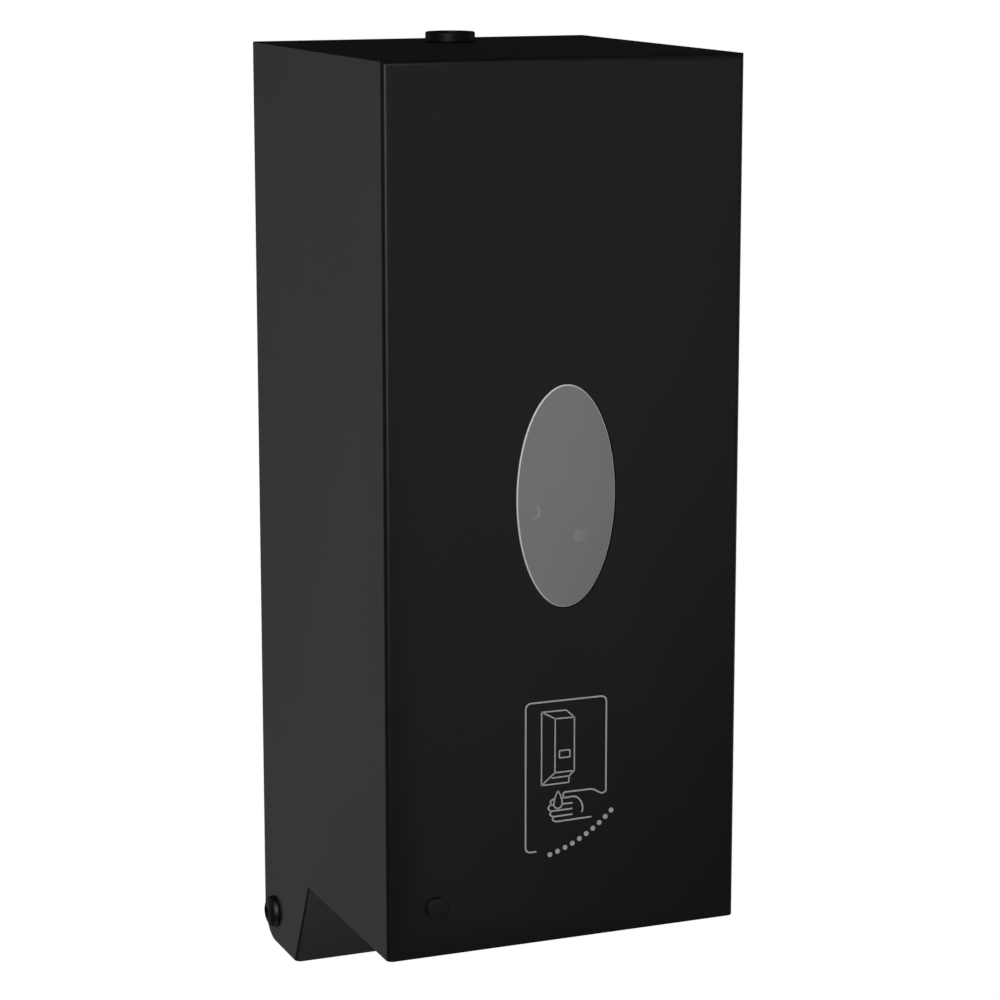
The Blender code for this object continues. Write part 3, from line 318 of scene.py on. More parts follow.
class Finish:
    """A material around one Principled shader. Uniform values sit on the shader's own sockets."""

    def __init__(self, name, colour, roughness, **uniform):
        self.material = bpy.data.materials.new(name)
        self.material.use_nodes = True
        self.tree = self.material.node_tree
        self.shader = self.tree.nodes["Principled BSDF"]
        self.colour = (*colour, 1.0)
        self.shader.inputs["Base Color"].default_value = self.colour
        self.shader.inputs["Roughness"].default_value = roughness
        for word, value in uniform.items():
            self.shader.inputs[word.replace("_", " ")].default_value = value
        self.place = self.node("ShaderNodeTexCoord", output="Object")

    def node(self, kind, settings=None, inputs=None, output=0):
        """Any node: its type, its settings, then the values or links of its sockets."""
        node = self.tree.nodes.new(kind)
        for word, value in (settings or {}).items():
            setattr(node, word, value)
        for word, value in (inputs or {}).items():
            self.wire(node.inputs[word], value)
        return Value(self.tree, node.outputs[output])

    def wire(self, socket, value):
        if isinstance(value, Value):
            self.tree.links.new(value.socket, socket)
        else:
            socket.default_value = value

    def drive(self, word, value):
        self.wire(self.shader.inputs[word], value)

    def noise(self, size, detail=2.0, stretch=None):
        """Noise from 0 to 1, in blotches of about this size in metres. stretch lengthens them on an axis."""
        vector = self.place
        if stretch:
            vector = self.node("ShaderNodeMapping", None, {"Vector": self.place, "Scale": stretch})
        return self.node("ShaderNodeTexNoise", None, {"Vector": vector, "Scale": 1 / size, "Detail": detail})

    def bump(self, height, strength, depth):
        self.drive("Normal", self.node("ShaderNodeBump", None, {"Height": height, "Strength": strength,
                                                               "Distance": depth}))

    def mix(self, mask, first, second):
        """Blend two colours by a mask from 0 to 1. Either may be a colour or a link."""
        inputs = {MIX_FACTOR: mask, MIX_FIRST: first, MIX_SECOND: second}
        return self.node("ShaderNodeMix", {"data_type": "RGBA"}, inputs, output=MIX_RESULT)

    def axis(self, letter):
        return self.node("ShaderNodeSeparateXYZ", None, {"Vector": self.place}, output=letter)


def tint(colour, factor):
    return tuple(min(1.0, channel * factor) for channel in colour[:3]) + (1.0,)


print("a grey, half as bright again", [round(channel, 3) for channel in tint((0.2, 0.2, 0.2), 1.5)])


# %% [markdown]
# ## Black powder coat
# Powder is sprayed on dry and melted in an oven, which leaves a fine orange peel: soft dimples about a
# millimetre across, with a finer grain on top. The colour is nearly uniform, so the peel, the grain and
# a slow drift of gloss do the work. The base is very dark, because most of what the eye sees on matt
# black is the soft reflection.

# %% Powder coat
def powder_coat():
    finish = Finish("matt black powder coat", (0.0052, 0.0052, 0.0056), 0.42, Specular_IOR_Level=0.42)
    peel = finish.noise(1.1 * MM, 2)
    grain = finish.noise(0.22 * MM, 3)
    cloud = finish.noise(45 * MM, 3)
    mottle = cloud * 0.5 + grain * 0.3
    finish.drive("Base Color", finish.mix(mottle, tint(finish.colour, 0.82), tint(finish.colour, 1.25)))
    finish.drive("Roughness", 0.40 + cloud * 0.03 + grain * 0.05)
    finish.bump(peel * 0.7 + grain * 0.3, 0.16, 0.05 * MM)
    return finish.material


BLACK_COAT = powder_coat()
print("powder coat", len(BLACK_COAT.node_tree.nodes), "nodes")


# %% [markdown]
# ## Plastics
# Moulded parts take the surface of their mould: the black lock and lens have a fine spark texture, the
# white acetal wheels are nearly smooth, and the tank is blown from a cloudy natural plastic through
# which the soap shows.

# %% Plastics
def moulded(name, colour, roughness, texture=0.35 * MM, strength=0.12, **uniform):
    finish = Finish(name, colour, roughness, **uniform)
    spark = finish.noise(texture, 3)
    cloud = finish.noise(18 * MM, 2)
    finish.drive("Base Color", finish.mix(cloud, tint(finish.colour, 0.88), tint(finish.colour, 1.12)))
    finish.drive("Roughness", (roughness - 0.05) + spark * 0.08 + cloud * 0.03)
    finish.bump(spark, strength, 0.04 * MM)
    return finish.material


BLACK_PLASTIC = moulded("black moulded plastic", (0.008, 0.008, 0.009), 0.45, Specular_IOR_Level=0.4)
LENS_PLASTIC = moulded("dark lens plastic", (0.006, 0.006, 0.0065), 0.45, 0.2 * MM, 0.06,
                       Specular_IOR_Level=0.36)
LOCK_PLASTIC = moulded("black lock plastic", (0.004, 0.004, 0.0045), 0.5, Specular_IOR_Level=0.15)
GREY_PLASTIC = moulded("grey pump plastic", (0.21, 0.22, 0.23), 0.48)
WHITE_ACETAL = moulded("white acetal", (0.78, 0.78, 0.74), 0.33, 0.6 * MM, 0.05)
RED_PLASTIC = moulded("red button plastic", (0.42, 0.025, 0.02), 0.35)
SENSOR_PLASTIC = moulded("infrared filter plastic", (0.012, 0.003, 0.006), 0.1, 2 * MM, 0.02)
SILICONE = moulded("milky silicone tube", (0.55, 0.55, 0.52), 0.38, 1.5 * MM, 0.04, Subsurface_Weight=0.2,
                   Subsurface_Scale=0.002)
WIRE = moulded("wire insulation", (0.3, 0.02, 0.018), 0.42, 1.0 * MM, 0.05)
print("materials so far", len(bpy.data.materials))


# %% [markdown]
# The pane over the tank is milky. Its rounded rim is painted near white as a highlight, and two faint painted
# highlights stand on it where the tank's moulding behind would catch light: a half-moon and a small patch.
# Each mark is a mask worked out from the place on the pane. An image would do as well, but a mask needs no
# file and stays sharp close up.

# %% Window plastic
def window_plastic():
    """Milky pane with a painted highlight on its rim, and two faint painted highlights of the tank's moulding
    behind it.
    """
    finish = Finish("milky window plastic", (0.24, 0.24, 0.243), 0.34, Specular_IOR_Level=0.4)
    x = finish.axis("X")
    y = finish.axis("Y")
    z = finish.axis("Z")
    window_z = WINDOW.z

    def disc(cx, cz, radius):
        dx = x - cx
        dz = z - (window_z + cz)
        return (dx * dx + dz * dz) < radius * radius

    # Painted highlight: a pale half-moon where a round boss of the tank behind would catch light, and a
    # painted reflection of a block as a patch that fades to the right.
    crescent_highlight = disc(-10.7 * MM, -3.9 * MM, 2.3 * MM) * (1 - disc(-11.6 * MM, -3.8 * MM, 2.35 * MM))
    square_left = 2.7 * MM
    square_right = 7.6 * MM
    square_reflection = (x > square_left) * (x < square_right) * (z > window_z - 14.0 * MM) * (z < window_z - 10.5 * MM)
    reflection_fade = (square_right - x) / (square_right - square_left)
    haze = finish.noise(25 * MM, 2)
    plain = finish.mix(haze, tint(finish.colour, 0.97), tint(finish.colour, 1.03))
    with_painted_glints = finish.mix(crescent_highlight * 0.9 + square_reflection * reflection_fade * 0.7, plain, (0.34, 0.34, 0.343, 1))
    # Painted highlight: the rounded front rim of the pane is coloured near white to draw a bright line,
    # instead of being lit by a lamp.
    rim = (y > PANE_FRONT + 0.03 * MM) * (y < PANE_FRONT + PANE_RIM)
    finish.drive("Base Color", finish.mix(rim, with_painted_glints, (0.8, 0.8, 0.8, 1)))
    finish.bump(finish.noise(1.5 * MM, 2), 0.03, 0.03 * MM)
    return finish.material


pane_low, pane_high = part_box("window_pane")
WINDOW = (pane_low + pane_high) / 2
PANE_FRONT = FRONT - 0.1 * MM
PANE_RIM = 0.5 * MM
WINDOW_PLASTIC = window_plastic()
print("pane", round((pane_high.x - pane_low.x) / MM, 1), "mm wide")


# %% [markdown]
# The tank is cloudy, and the soap tints it up to its level. A mask on the height splits the two colours,
# so the soap needs no body of its own behind the wall.

# %% Tank plastic
def tank_plastic():
    """Cloudy blown plastic, tinted by pearly pink soap up to its level."""
    tank_low, tank_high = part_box("soap_tank")
    soap_fill = 0.68
    level = tank_low.z + soap_fill * (tank_high.z - tank_low.z)
    finish = Finish("cloudy tank plastic", (0.72, 0.73, 0.7), 0.36, Subsurface_Weight=0.25,
                    Subsurface_Scale=0.004)
    wave = finish.noise(9 * MM, 2)
    below = finish.axis("Z") < level
    cloud = finish.mix(wave, tint(finish.colour, 0.94), tint(finish.colour, 1.05))
    soap = finish.mix(wave, (0.66, 0.44, 0.47, 1), (0.74, 0.53, 0.55, 1))
    finish.drive("Base Color", finish.mix(below, cloud, soap))
    finish.bump(finish.noise(2.5 * MM, 3), 0.12, 0.1 * MM)
    return finish.material


TANK_PLASTIC = tank_plastic()
print("tank plastic", len(TANK_PLASTIC.node_tree.nodes), "nodes")

# %% [markdown]
# ## Metals
# Brushed stainless sheet has fine scratches that all run one way, so its noise is stretched a
# hundredfold along one axis and drives the roughness and a shallow bump. Zinc plating is duller and
# slightly blue, with faint crystal blotches. The pivot screws and the lock core are blackened steel.


# %% Metals
def brushed(name, colour, roughness, along):
    finish = Finish(name, colour, roughness, Metallic=1.0)
    scratch = finish.noise(0.35 * MM, 4, along)
    smudge = finish.noise(30 * MM, 3)
    finish.drive("Base Color", finish.mix(scratch, tint(finish.colour, 0.85), tint(finish.colour, 1.12)))
    finish.drive("Roughness", (roughness - 0.08) + scratch * 0.14 + smudge * 0.06)
    finish.bump(scratch, 0.15, 0.03 * MM)
    return finish.material


def plated(name, colour, roughness):
    finish = Finish(name, colour, roughness, Metallic=1.0)
    crystal = finish.node("ShaderNodeTexVoronoi", None, {"Vector": finish.place, "Scale": 1 / (3.5 * MM)},
                          "Distance")
    grain = finish.noise(0.3 * MM, 3)
    finish.drive("Base Color", finish.mix(crystal, tint(finish.colour, 0.88), tint(finish.colour, 1.1)))
    finish.drive("Roughness", (roughness - 0.05) + crystal * 0.1 + grain * 0.06)
    finish.bump(grain, 0.1, 0.02 * MM)
    return finish.material


STAINLESS_UP = brushed("brushed stainless, upright grain", (0.56, 0.56, 0.55), 0.36, (1, 1, 0.01))
STAINLESS_ACROSS = brushed("brushed stainless, level grain", (0.56, 0.56, 0.55), 0.34, (0.01, 1, 1))
ZINC = plated("zinc plated steel", (0.5, 0.51, 0.53), 0.4)
BLACK_STEEL = plated("blackened screw steel", (0.045, 0.045, 0.047), 0.46)
print("materials so far", len(bpy.data.materials))

# %% [markdown]
# ## The cover
# The real cover is one flat blank of 1.2 mm sheet: front, sides, top, underside and rear skirt are
# folded up and welded at the corners. It could be a box with a shell modifier, but a folded sheet has
# its own order: first the closed outline is extruded, then the folds are rounded, then the open rear is
# deleted, and only then does the wall get its thickness, so the rounds stay even inside and outside. The
# holes are cut last, as a punch would, and every cut edge gets a tiny round because powder never covers
# a sharp corner.


# %% Cover outline
def cover_outline():
    heel_radius = REAR - PIVOT.y
    heel = arc((PIVOT.y, PIVOT.z), heel_radius, heel_radius, 0, -90, 16)
    return [(FRONT, BELLY), (FRONT, TOP), (REAR, TOP), *heel, (SKIRT_FOOT, BOTTOM), (SKIRT_TOP, BELLY)]


def edges_where(bm, test):
    """Edges whose two ends pass a test on their middle point and direction."""
    found = []
    for edge in bm.edges:
        start, end = edge.verts[0].co, edge.verts[1].co
        runs_across = abs(start.x - end.x) > 50 * MM
        if test((start + end) / 2, runs_across):
            found.append(edge)
    return found


def round_edges(bm, edges, radius, segments):
    bmesh.ops.bevel(bm, geom=edges, offset=radius, segments=segments, profile=0.5, affect="EDGES",
                    material=-1, clamp_overlap=True)


print("cover outline", len(cover_outline()), "points")


# %% [markdown]
# The folds aren't all alike. Those at the front and at the skirt's sides are wide and soft, while the
# top's side edges and the underside's are nearly sharp. So each group of edges is found by its place and
# gets its own radius.

# %% Folded sheet
def cover_sheet():
    near = 0.2 * MM
    bm = slab(cover_outline(), "YZ", -HALF, HALF)

    def front_fold(middle, across):
        return abs(middle.y - FRONT) < near and (not across or abs(middle.z - TOP) < near)

    round_edges(bm, edges_where(bm, front_fold), 2.0 * MM, 10)

    def top_side(middle, across):
        return not across and abs(middle.z - TOP) < near and FRONT + 4 * MM < middle.y < REAR - near

    round_edges(bm, edges_where(bm, top_side), 0.4 * MM, 4)

    def skirt_side(middle, across):
        return not across and abs(abs(middle.x) - HALF) < near and BOTTOM + near < middle.z < BELLY - near \
            and middle.y < SKIRT_FOOT

    round_edges(bm, edges_where(bm, skirt_side), 2.0 * MM, 8)

    def underside(middle, across):
        return abs(middle.z - BELLY) < near and middle.y < SKIRT_TOP + near

    round_edges(bm, edges_where(bm, underside), 0.35 * MM, 3)
    open_rear = [face for face in bm.faces
                 if (face.normal.y > 0.5 or face.normal.z < -0.5)
                 and (face.calc_center_median().z < BELLY - MM or face.calc_center_median().y > REAR - near)
                 and face.calc_center_median().y > SKIRT_FOOT - near]
    heel = [face for face in bm.faces
            if face.calc_center_median().y > SKIRT_FOOT + near and face.calc_center_median().z < PIVOT.z
            and abs(face.normal.x) < 0.1]
    bmesh.ops.delete(bm, geom=list(set(open_rear + heel)), context="FACES")
    sheet = object_from("cover_sheet", bm)
    wall = sheet.modifiers.new("wall", "SOLIDIFY")
    wall.thickness = SHEET
    wall.offset = -1.0
    wall.use_even_offset = True
    bake_modifiers(sheet)
    return sheet


cover = cover_sheet()
print("folded sheet", len(cover.data.polygons), "faces")


# %% [markdown]
# Holes are needed for the window, the lens, the lock, both pivots, the nozzle and the sensor. Each cutter
# reaches well past the sheet on both sides, because a boolean is safest when no two faces touch.

# %% Holes in the cover
def cover_cuts():
    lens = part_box("indicator_lens")
    lens_x = (lens[0].x + lens[1].x) / 2
    lens_z = (lens[0].z + lens[1].z) / 2
    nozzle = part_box("nozzle")
    nozzle_y = (nozzle[0].y + nozzle[1].y) / 2
    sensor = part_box("sensor_eye")
    half_w, half_h = WINDOW_HALF
    lens_hole = 2.3 * MM
    lock_hole = 6.3 * MM
    pivot_hole = 4.9 * MM
    nozzle_hole = 7.0 * MM
    through = 4 * MM
    return [
        slab(oval((0, WINDOW.z), half_w, half_h), "XZ", FRONT - through, FRONT + through),
        slab(oval((lens_x, lens_z), lens_hole, lens_hole, 32), "XZ", FRONT - through, FRONT + through),
        slab(oval((0, LOCK.y), lock_hole, lock_hole, 48), "XY", TOP - through, TOP + through),
        slab(oval((PIVOT.y, PIVOT.z), pivot_hole, pivot_hole, 48), "YZ", -HALF - through, HALF + through),
        slab(oval((0, nozzle_y), nozzle_hole, nozzle_hole, 48), "XY", BELLY - through, BELLY + through),
        block((sensor[0].x - MM, sensor[0].y - MM, BELLY - through),
              (sensor[1].x + MM, sensor[1].y + MM, BELLY + through)),
    ]


WINDOW_HALF = (16.4 * MM, 34.4 * MM)
combine(cover, cover_cuts())
soft_edges(cover, 0.12 * MM, angle=50)
hand_over(cover, "cover", BLACK_COAT, ["cover_shell"])
print("cover sheet", len(cover.data.polygons), "faces")

# %% [markdown]
# ## The oval window
# The pane is clipped in from behind and its raised middle fills the cut-out. Its front edge is rounded, and
# its finish paints that round near white as a highlight, which draws the thin bright line around the oval. A
# flat disc would have no such line, so the pane is an oval slab whose front rim gets a bevel, and a narrow
# gap to the sheet keeps a dark outline.


# %% Window pane
def window_pane():
    half_w, half_h = WINDOW_HALF
    gap = 0.3 * MM
    lip = 3 * MM
    back = FRONT + SHEET + 0.3 * MM
    bm = slab(oval((0, WINDOW.z), half_w - gap, half_h - gap, 160), "XZ", PANE_FRONT, back)
    rim = [edge for edge in bm.edges if all(abs(vert.co.y - PANE_FRONT) < 1e-6 for vert in edge.verts)]
    round_edges(bm, rim, PANE_RIM, 5)
    pane = object_from("window_glass", bm)
    flange = slab(oval((0, WINDOW.z), half_w + lip, half_h + lip, 96), "XZ", FRONT + SHEET + 0.2 * MM,
                  FRONT + SHEET + 1.7 * MM)
    return combine(pane, [flange], "UNION")


glass = hand_over(window_pane(), "cover", WINDOW_PLASTIC, ["window_pane"])
refine("window_frame", STAINLESS_ACROSS, 0.15 * MM)
print("window pane", len(glass.data.polygons), "faces")

# %% [markdown]
# ## Lens, lock and pivot screws
# These are turned shapes, so each is a profile spun about its axis. A profile drawn with short arcs at
# its corners costs nothing and gives the soft highlights that a plain cylinder lacks.


# %% Lens and clip
def indicator_lens():
    low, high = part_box("indicator_lens")
    centre = (low + high) / 2
    radius = (high.x - low.x) / 2
    proud = FRONT - low.y
    round_off = 0.15 * MM
    stem = 2.0 * MM
    stem_end = -4.4 * MM
    seat = 0.12 * MM
    profile = [(0, stem_end), (stem - 0.1 * MM, stem_end), (stem, stem_end + 0.2 * MM), (stem, seat),
               (radius, seat)]
    profile += arc((radius - round_off, proud - round_off), round_off, round_off, 0, 90, 6)
    profile += [(0, proud)]
    return object_from("lens", turned(profile, (centre.x, FRONT, centre.z), OUT, 64))


lens = hand_over(indicator_lens(), "cover", LENS_PLASTIC, ["indicator_lens"])
refine("indicator_clip", STAINLESS_ACROSS, 0.1 * MM)
print("lens", len(lens.data.polygons), "faces")


# %% [markdown]
# The lock is a cap that stands on the top panel, with a stem through it. Its section is a closed ring of
# points, so one spin makes the cap, the stem and the bore together. The rim's arcs keep it from looking
# like a plain washer.

# %% Lock
def lock_cap():
    low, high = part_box("lock_housing")
    radius = (high.x - low.x) / 2
    edge = 0.6 * MM
    stem = 6.0 * MM
    bore = 4.4 * MM
    recess = 5.6 * MM
    seat = TOP + 0.2 * MM
    profile = [(bore, low.z), (stem - 0.4 * MM, low.z), (stem, low.z + 0.4 * MM), (stem, seat),
               (radius - 0.25 * MM, seat), (radius, seat + 0.25 * MM)]
    profile += arc((radius - edge, high.z - edge), edge, edge, 0, 90, 6)
    profile += arc((recess + 0.3 * MM, high.z - 0.3 * MM), 0.3 * MM, 0.3 * MM, 90, 180, 4)
    profile += [(recess, high.z - 1.0 * MM), (bore, high.z - 1.0 * MM)]
    return object_from("lock_cap", turned(profile, (0, LOCK.y, 0), UP, 96, ring=True))


cap = hand_over(lock_cap(), "cover", LOCK_PLASTIC, ["lock_housing"])
refine("lock_plug", BLACK_STEEL, 0.2 * MM)
refine("lock_cam", ZINC, 0.25 * MM)
refine("cam_screw", ZINC, 0.25 * MM)
refine("lock_nut", ZINC, 0.4 * MM)
print("lock cap", len(cap.data.polygons), "faces")


# %% [markdown]
# The cover turns on two button head screws. The dome is a quarter of an ellipse spun about the screw's
# axis, and the key's hexagon is cut out of it, because a hexagon can't be spun.

# %% Pivot screws and bushes
def hexagon(across_flats, centre):
    return arc(centre, across_flats / math.sqrt(3), across_flats / math.sqrt(3), 30, 330, 5)


def pivot_screw(word, side):
    """Button head: a low dome over a thin rim, with a hexagon socket."""
    low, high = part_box("pivot_screw_" + word)
    turn = LEFT if side < 0 else RIGHT
    head_r = (high.y - low.y) / 2
    outer = low.x if side < 0 else high.x
    inner = high.x if side < 0 else low.x
    head = 3.0 * MM
    seat = outer - side * head
    shank = abs(seat - inner)
    rim = 0.45 * MM
    dome = arc((0, rim), head_r - 0.1 * MM, head - rim, 0, 90, 14)
    shank_r = 2.9 * MM
    tip = 0.3 * MM
    soft = 0.15 * MM
    profile = [(0, -shank), (shank_r - tip, -shank), (shank_r, -shank + tip), (shank_r, 0),
               (head_r - soft, 0), (head_r, soft), *dome[:-1], (0, head)]
    screw = object_from("screw_" + word, turned(profile, (seat, PIVOT.y, PIVOT.z), turn, 72))
    socket_ends = sorted((outer - side * 2.1 * MM, outer + side * MM))
    socket = slab(hexagon(4.0 * MM, (PIVOT.y, PIVOT.z)), "YZ", *socket_ends)
    combine(screw, [socket])
    soft_edges(screw, 0.08 * MM, angle=50)
    return hand_over(screw, "base", BLACK_STEEL, ["pivot_screw_" + word])


for word, side in (("left", -1), ("right", 1)):
    screw = pivot_screw(word, side)
    refine("pivot_bush_" + word, BLACK_PLASTIC, 0.15 * MM)
    refine("pivot_nut_" + word, ZINC, 0.4 * MM)
    print(word, "pivot screw", len(screw.data.polygons), "faces")


# %% [markdown]
# ## Printed pictogram
# The front carries a screen print: a frame, a small dispenser, a drop and a hand below it. A print
# stands about a twentieth of a millimetre off the coat, so each line is a thin ribbon laid on the front.
# The lines are given in millimetres from a point near the print's upper left corner, as on a printer's
# film. A row of dots stands under it.


# %% Print helpers
PRINT_LINE = 0.5 * MM
PRINT_FILM = 0.06 * MM


def print_ink():
    finish = Finish("grey screen print", (0.46, 0.46, 0.46), 0.5, Specular_IOR_Level=0.3)
    mottle = finish.noise(0.6 * MM, 3)
    finish.drive("Base Color", finish.mix(mottle, tint(finish.colour, 0.85), tint(finish.colour, 1.15)))
    finish.bump(finish.noise(0.3 * MM, 2), 0.15, 0.02 * MM)
    return finish.material


def ribbon(points, width=PRINT_LINE):
    """A flat line of even width through points in the front plane: one rung, extruded from point to point."""
    bm = bmesh.new()
    rung = None
    for index, (x, z) in enumerate(points):
        before = Vector(points[max(index - 1, 0)])
        after = Vector(points[min(index + 1, len(points) - 1)])
        along = (after - before).normalized()
        side = Vector((-along.y, 0, along.x)) * width / 2
        middle = Vector((x, FRONT, z))
        if rung is None:
            rung = bm.edges.new((bm.verts.new(middle + side), bm.verts.new(middle - side)))
            left = rung.verts[0].co.copy()
            continue
        grown = bmesh.ops.extrude_edge_only(bm, edges=[rung])["geom"]
        rung = next(item for item in grown if isinstance(item, bmesh.types.BMEdge))
        for vert in rung.verts:
            vert.co = middle + side if (vert.co - left).length < width / 4 else middle - side
        left = middle + side
    return bm


def raise_film(bm):
    """Give a flat print its thickness."""
    grown = bmesh.ops.extrude_face_region(bm, geom=bm.faces[:])
    moved = [item for item in grown["geom"] if isinstance(item, bmesh.types.BMVert)]
    bmesh.ops.translate(bm, vec=(0, -PRINT_FILM, 0), verts=moved)
    bmesh.ops.recalc_face_normals(bm, faces=bm.faces)
    return bm


def rounded(points, radius, steps=6, closed=False):
    """A polyline with each corner turned into an arc. A radius may be given for each corner."""
    count = len(points)
    radii = radius if isinstance(radius, (list, tuple)) else [radius] * count
    path = []
    for index in range(count):
        here = Vector(points[index])
        if not closed and index in (0, count - 1):
            path.append(tuple(here))
            continue
        before = Vector(points[index - 1])
        after = Vector(points[(index + 1) % count])
        reach = min(radii[index], (before - here).length * 0.5, (after - here).length * 0.5)
        start = here + (before - here).normalized() * reach
        end = here + (after - here).normalized() * reach
        for step in range(steps + 1):
            t = step / steps
            path.append(tuple(start.lerp(here, t).lerp(here.lerp(end, t), t)))
    if closed:
        path.append(path[0])
    return path


def print_piece(name, shapes):
    bm = bmesh.new()
    for shape in shapes:
        part = bpy.data.meshes.new("line")
        raise_film(shape).to_mesh(part)
        shape.free()
        bm.from_mesh(part)
        bpy.data.meshes.remove(part)
    piece = hand_over(object_from(name, bm), "cover", PRINT_INK)
    print(name, len(piece.data.polygons), "faces")


PRINT_INK = print_ink()
print("print lines", round(PRINT_LINE / MM, 2), "mm wide")

# %% [markdown]
# Each line of the print is a list of points. Where the hand's outline bends, the corner becomes a small
# arc, and the drop is half a circle with two sides that meet in a point.

# %% Pictogram
ICON = Vector((-13.15, BELLY / MM + 73.9))


def icon(points):
    """Icon millimetres into the front plane. They start on the frame's left side, just below its top."""
    return [((ICON.x + x) * MM, (ICON.y + z) * MM) for x, z in points]


def icon_lines():
    """The frame, which turns into the thumb of the hand, then the palm and the four fingers."""
    right = 26.75
    foot = -44.8
    frame_line = [(3.6, foot), (0, foot), (0, 2.2), (right, 2.2), (right, -28.2)]
    thumb = [(right, -28.2), (25.3, -28.65), (24.4, -28.15), (22.4, -26.9), (12.7, -26.9), (12.3, -27.9),
             (12.95, -28.65)]
    palm = [(12.1, -28.7), (16.9, -28.55), (18.6, -30.6), (19.1, -32.6), (18.7, -33.95)]
    fingers = [
        [(12.4, -30.6), (15.6, -30.6)],
        [(9.4, -28.75), (8.1, -29.2), (8.5, -30.45)],
        [(9.2, -30.6), (8.2, -30.4), (7.3, -31.5), (8.2, -32.5), (15.6, -32.4)],
        [(8.5, -32.6), (7.9, -33.4), (8.9, -34.35), (15.6, -34.2)],
        [(9.3, -34.4), (8.8, -35.2), (9.8, -36.0), (21.9, -35.75)],
    ]
    lines = [rounded(frame_line, [0, 2, 2, 2, 0]), rounded(thumb, [0, 0.9, 0.8, 1.6, 0.9, 0.8, 0]),
             rounded(palm, [0, 1.6, 1.6, 1.2, 0])]
    lines += [rounded(finger, 1.0) for finger in fingers]
    return [ribbon(icon(line)) for line in lines]


def icon_drop():
    """A pointed drop, round below, with two sides that bulge a little on the way to the tip."""
    middle = 10.75
    belly = -30.4
    radius = 1.42
    right_side = [(middle + radius, belly), (middle + 1.25, -29.2), (middle + 0.75, -27.6),
                  (middle + 0.05, -26.3)]
    left_side = [(2 * middle - x, z) for x, z in reversed(right_side)]
    outline = left_side + arc((middle, belly), radius, radius, 180, 360, 14)[1:-1] + right_side
    return [ribbon(icon(outline), 0.42 * MM)]


def icon_dispenser():
    """The little dispenser is drawn as a solid seen from the side: two faces, its skirt and its window."""
    rear_top = (5.24, -0.9)
    rear_right = (13.34, -1.0)
    front_right = (16.12, -3.5)
    front_left = (9.74, -3.4)
    rear_foot = (5.24, -24.0)
    front_foot = (9.68, -20.4)
    right_foot = (16.12, -20.43)
    lip_left = (8.52, -21.98)
    lip_right = (14.37, -21.92)
    skirt = (14.3, -23.93)
    window_left, window_right = 11.16, 14.66
    window_low, window_high = -15.9, -13.62
    strokes = [
        [rear_top, rear_right, front_right, right_foot, lip_right, skirt, rear_foot, rear_top],
        [rear_top, front_left, front_right],
        [front_left, front_foot, right_foot],
        [front_foot, rear_foot],
        [lip_left, lip_right],
        [(window_left, window_low), (window_right, window_low), (window_right, window_high),
         (window_left, window_high), (window_left, window_low)],
    ]
    return [ribbon(icon(rounded(stroke, 0.15, 2)), 0.42 * MM) for stroke in strokes]


print_piece("pictogram_frame_and_hand", icon_lines())
print_piece("pictogram_drop", icon_drop())
print_piece("pictogram_dispenser", icon_dispenser())


# %% [markdown]
# The dots under the pictogram follow an arc that rises to the right. They are small round patches of the
# same ink, evenly spaced, and stand where a caption could be.


# %% Row of dots
def caption_dots():
    centre = ICON + Vector((-3.7, -2.2))
    radius = 45.6
    first, last = -75, -45
    count = 10
    dot_radius = 0.8 * MM
    shapes = []
    for step in range(count):
        angle = math.radians(first + (last - first) * step / (count - 1))
        bm = bmesh.new()
        middle = (centre + Vector((math.cos(angle), math.sin(angle))) * radius) * MM
        bmesh.ops.create_circle(bm, cap_ends=True, segments=20, radius=dot_radius,
                                matrix=Matrix.Translation((middle.x, FRONT, middle.y)) @ OUT)
        shapes.append(bm)
    return shapes


print_piece("row_of_dots", caption_dots())

# %% [markdown]
# ## Back plate and shelf
# The back plate and the shelf are bent stainless sheet, so their edges are softened just enough to catch
# light. Their grain runs along the sheet, up the plate and across the shelf.

# %% Sheet metal inside
refine("back_plate", STAINLESS_UP, 0.3 * MM)
refine("latch_bracket", ZINC, 0.3 * MM)
refine("tank_shelf", STAINLESS_ACROSS, 0.3 * MM)
refine("pump_deck", ZINC, 0.25 * MM)
for number in (1, 2, 3):
    refine("pump_spacer_%d" % number, ZINC, 0.3 * MM)
print("CAD pieces refined so far", refined_so_far())

# %% [markdown]
# ## Pump, nozzle and sensor
# Moulded pump parts have generous edge rounds where a mould would have them. Rollers are ground steel,
# gears are acetal, and the nozzle's soft tip is the only part that shows below the cover.

# %% Pump and nozzle
refine("pump_cup", GREY_PLASTIC, 0.4 * MM)
refine("motor", STAINLESS_ACROSS, 0.3 * MM)
refine("outlet_socket", GREY_PLASTIC, 0.4 * MM)
refine("front_carrier", GREY_PLASTIC, 0.5 * MM)
refine("nozzle", BLACK_PLASTIC, 0.3 * MM)
refine("sensor_eye", BLACK_PLASTIC, 0.2 * MM)
refine("sensor_window", SENSOR_PLASTIC, 0.2 * MM)
refine("pump_shaft", STAINLESS_UP, 0.2 * MM)
refine("pump_rotor", WHITE_ACETAL, 0.25 * MM)
refine("drive_gear", WHITE_ACETAL, 0.12 * MM, 1)
refine("motor_pinion", WHITE_ACETAL, 0.12 * MM, 1)
for number in (1, 2, 3):
    refine("pump_roller_%d" % number, STAINLESS_UP, 0.3 * MM)
print("CAD pieces refined so far", refined_so_far())
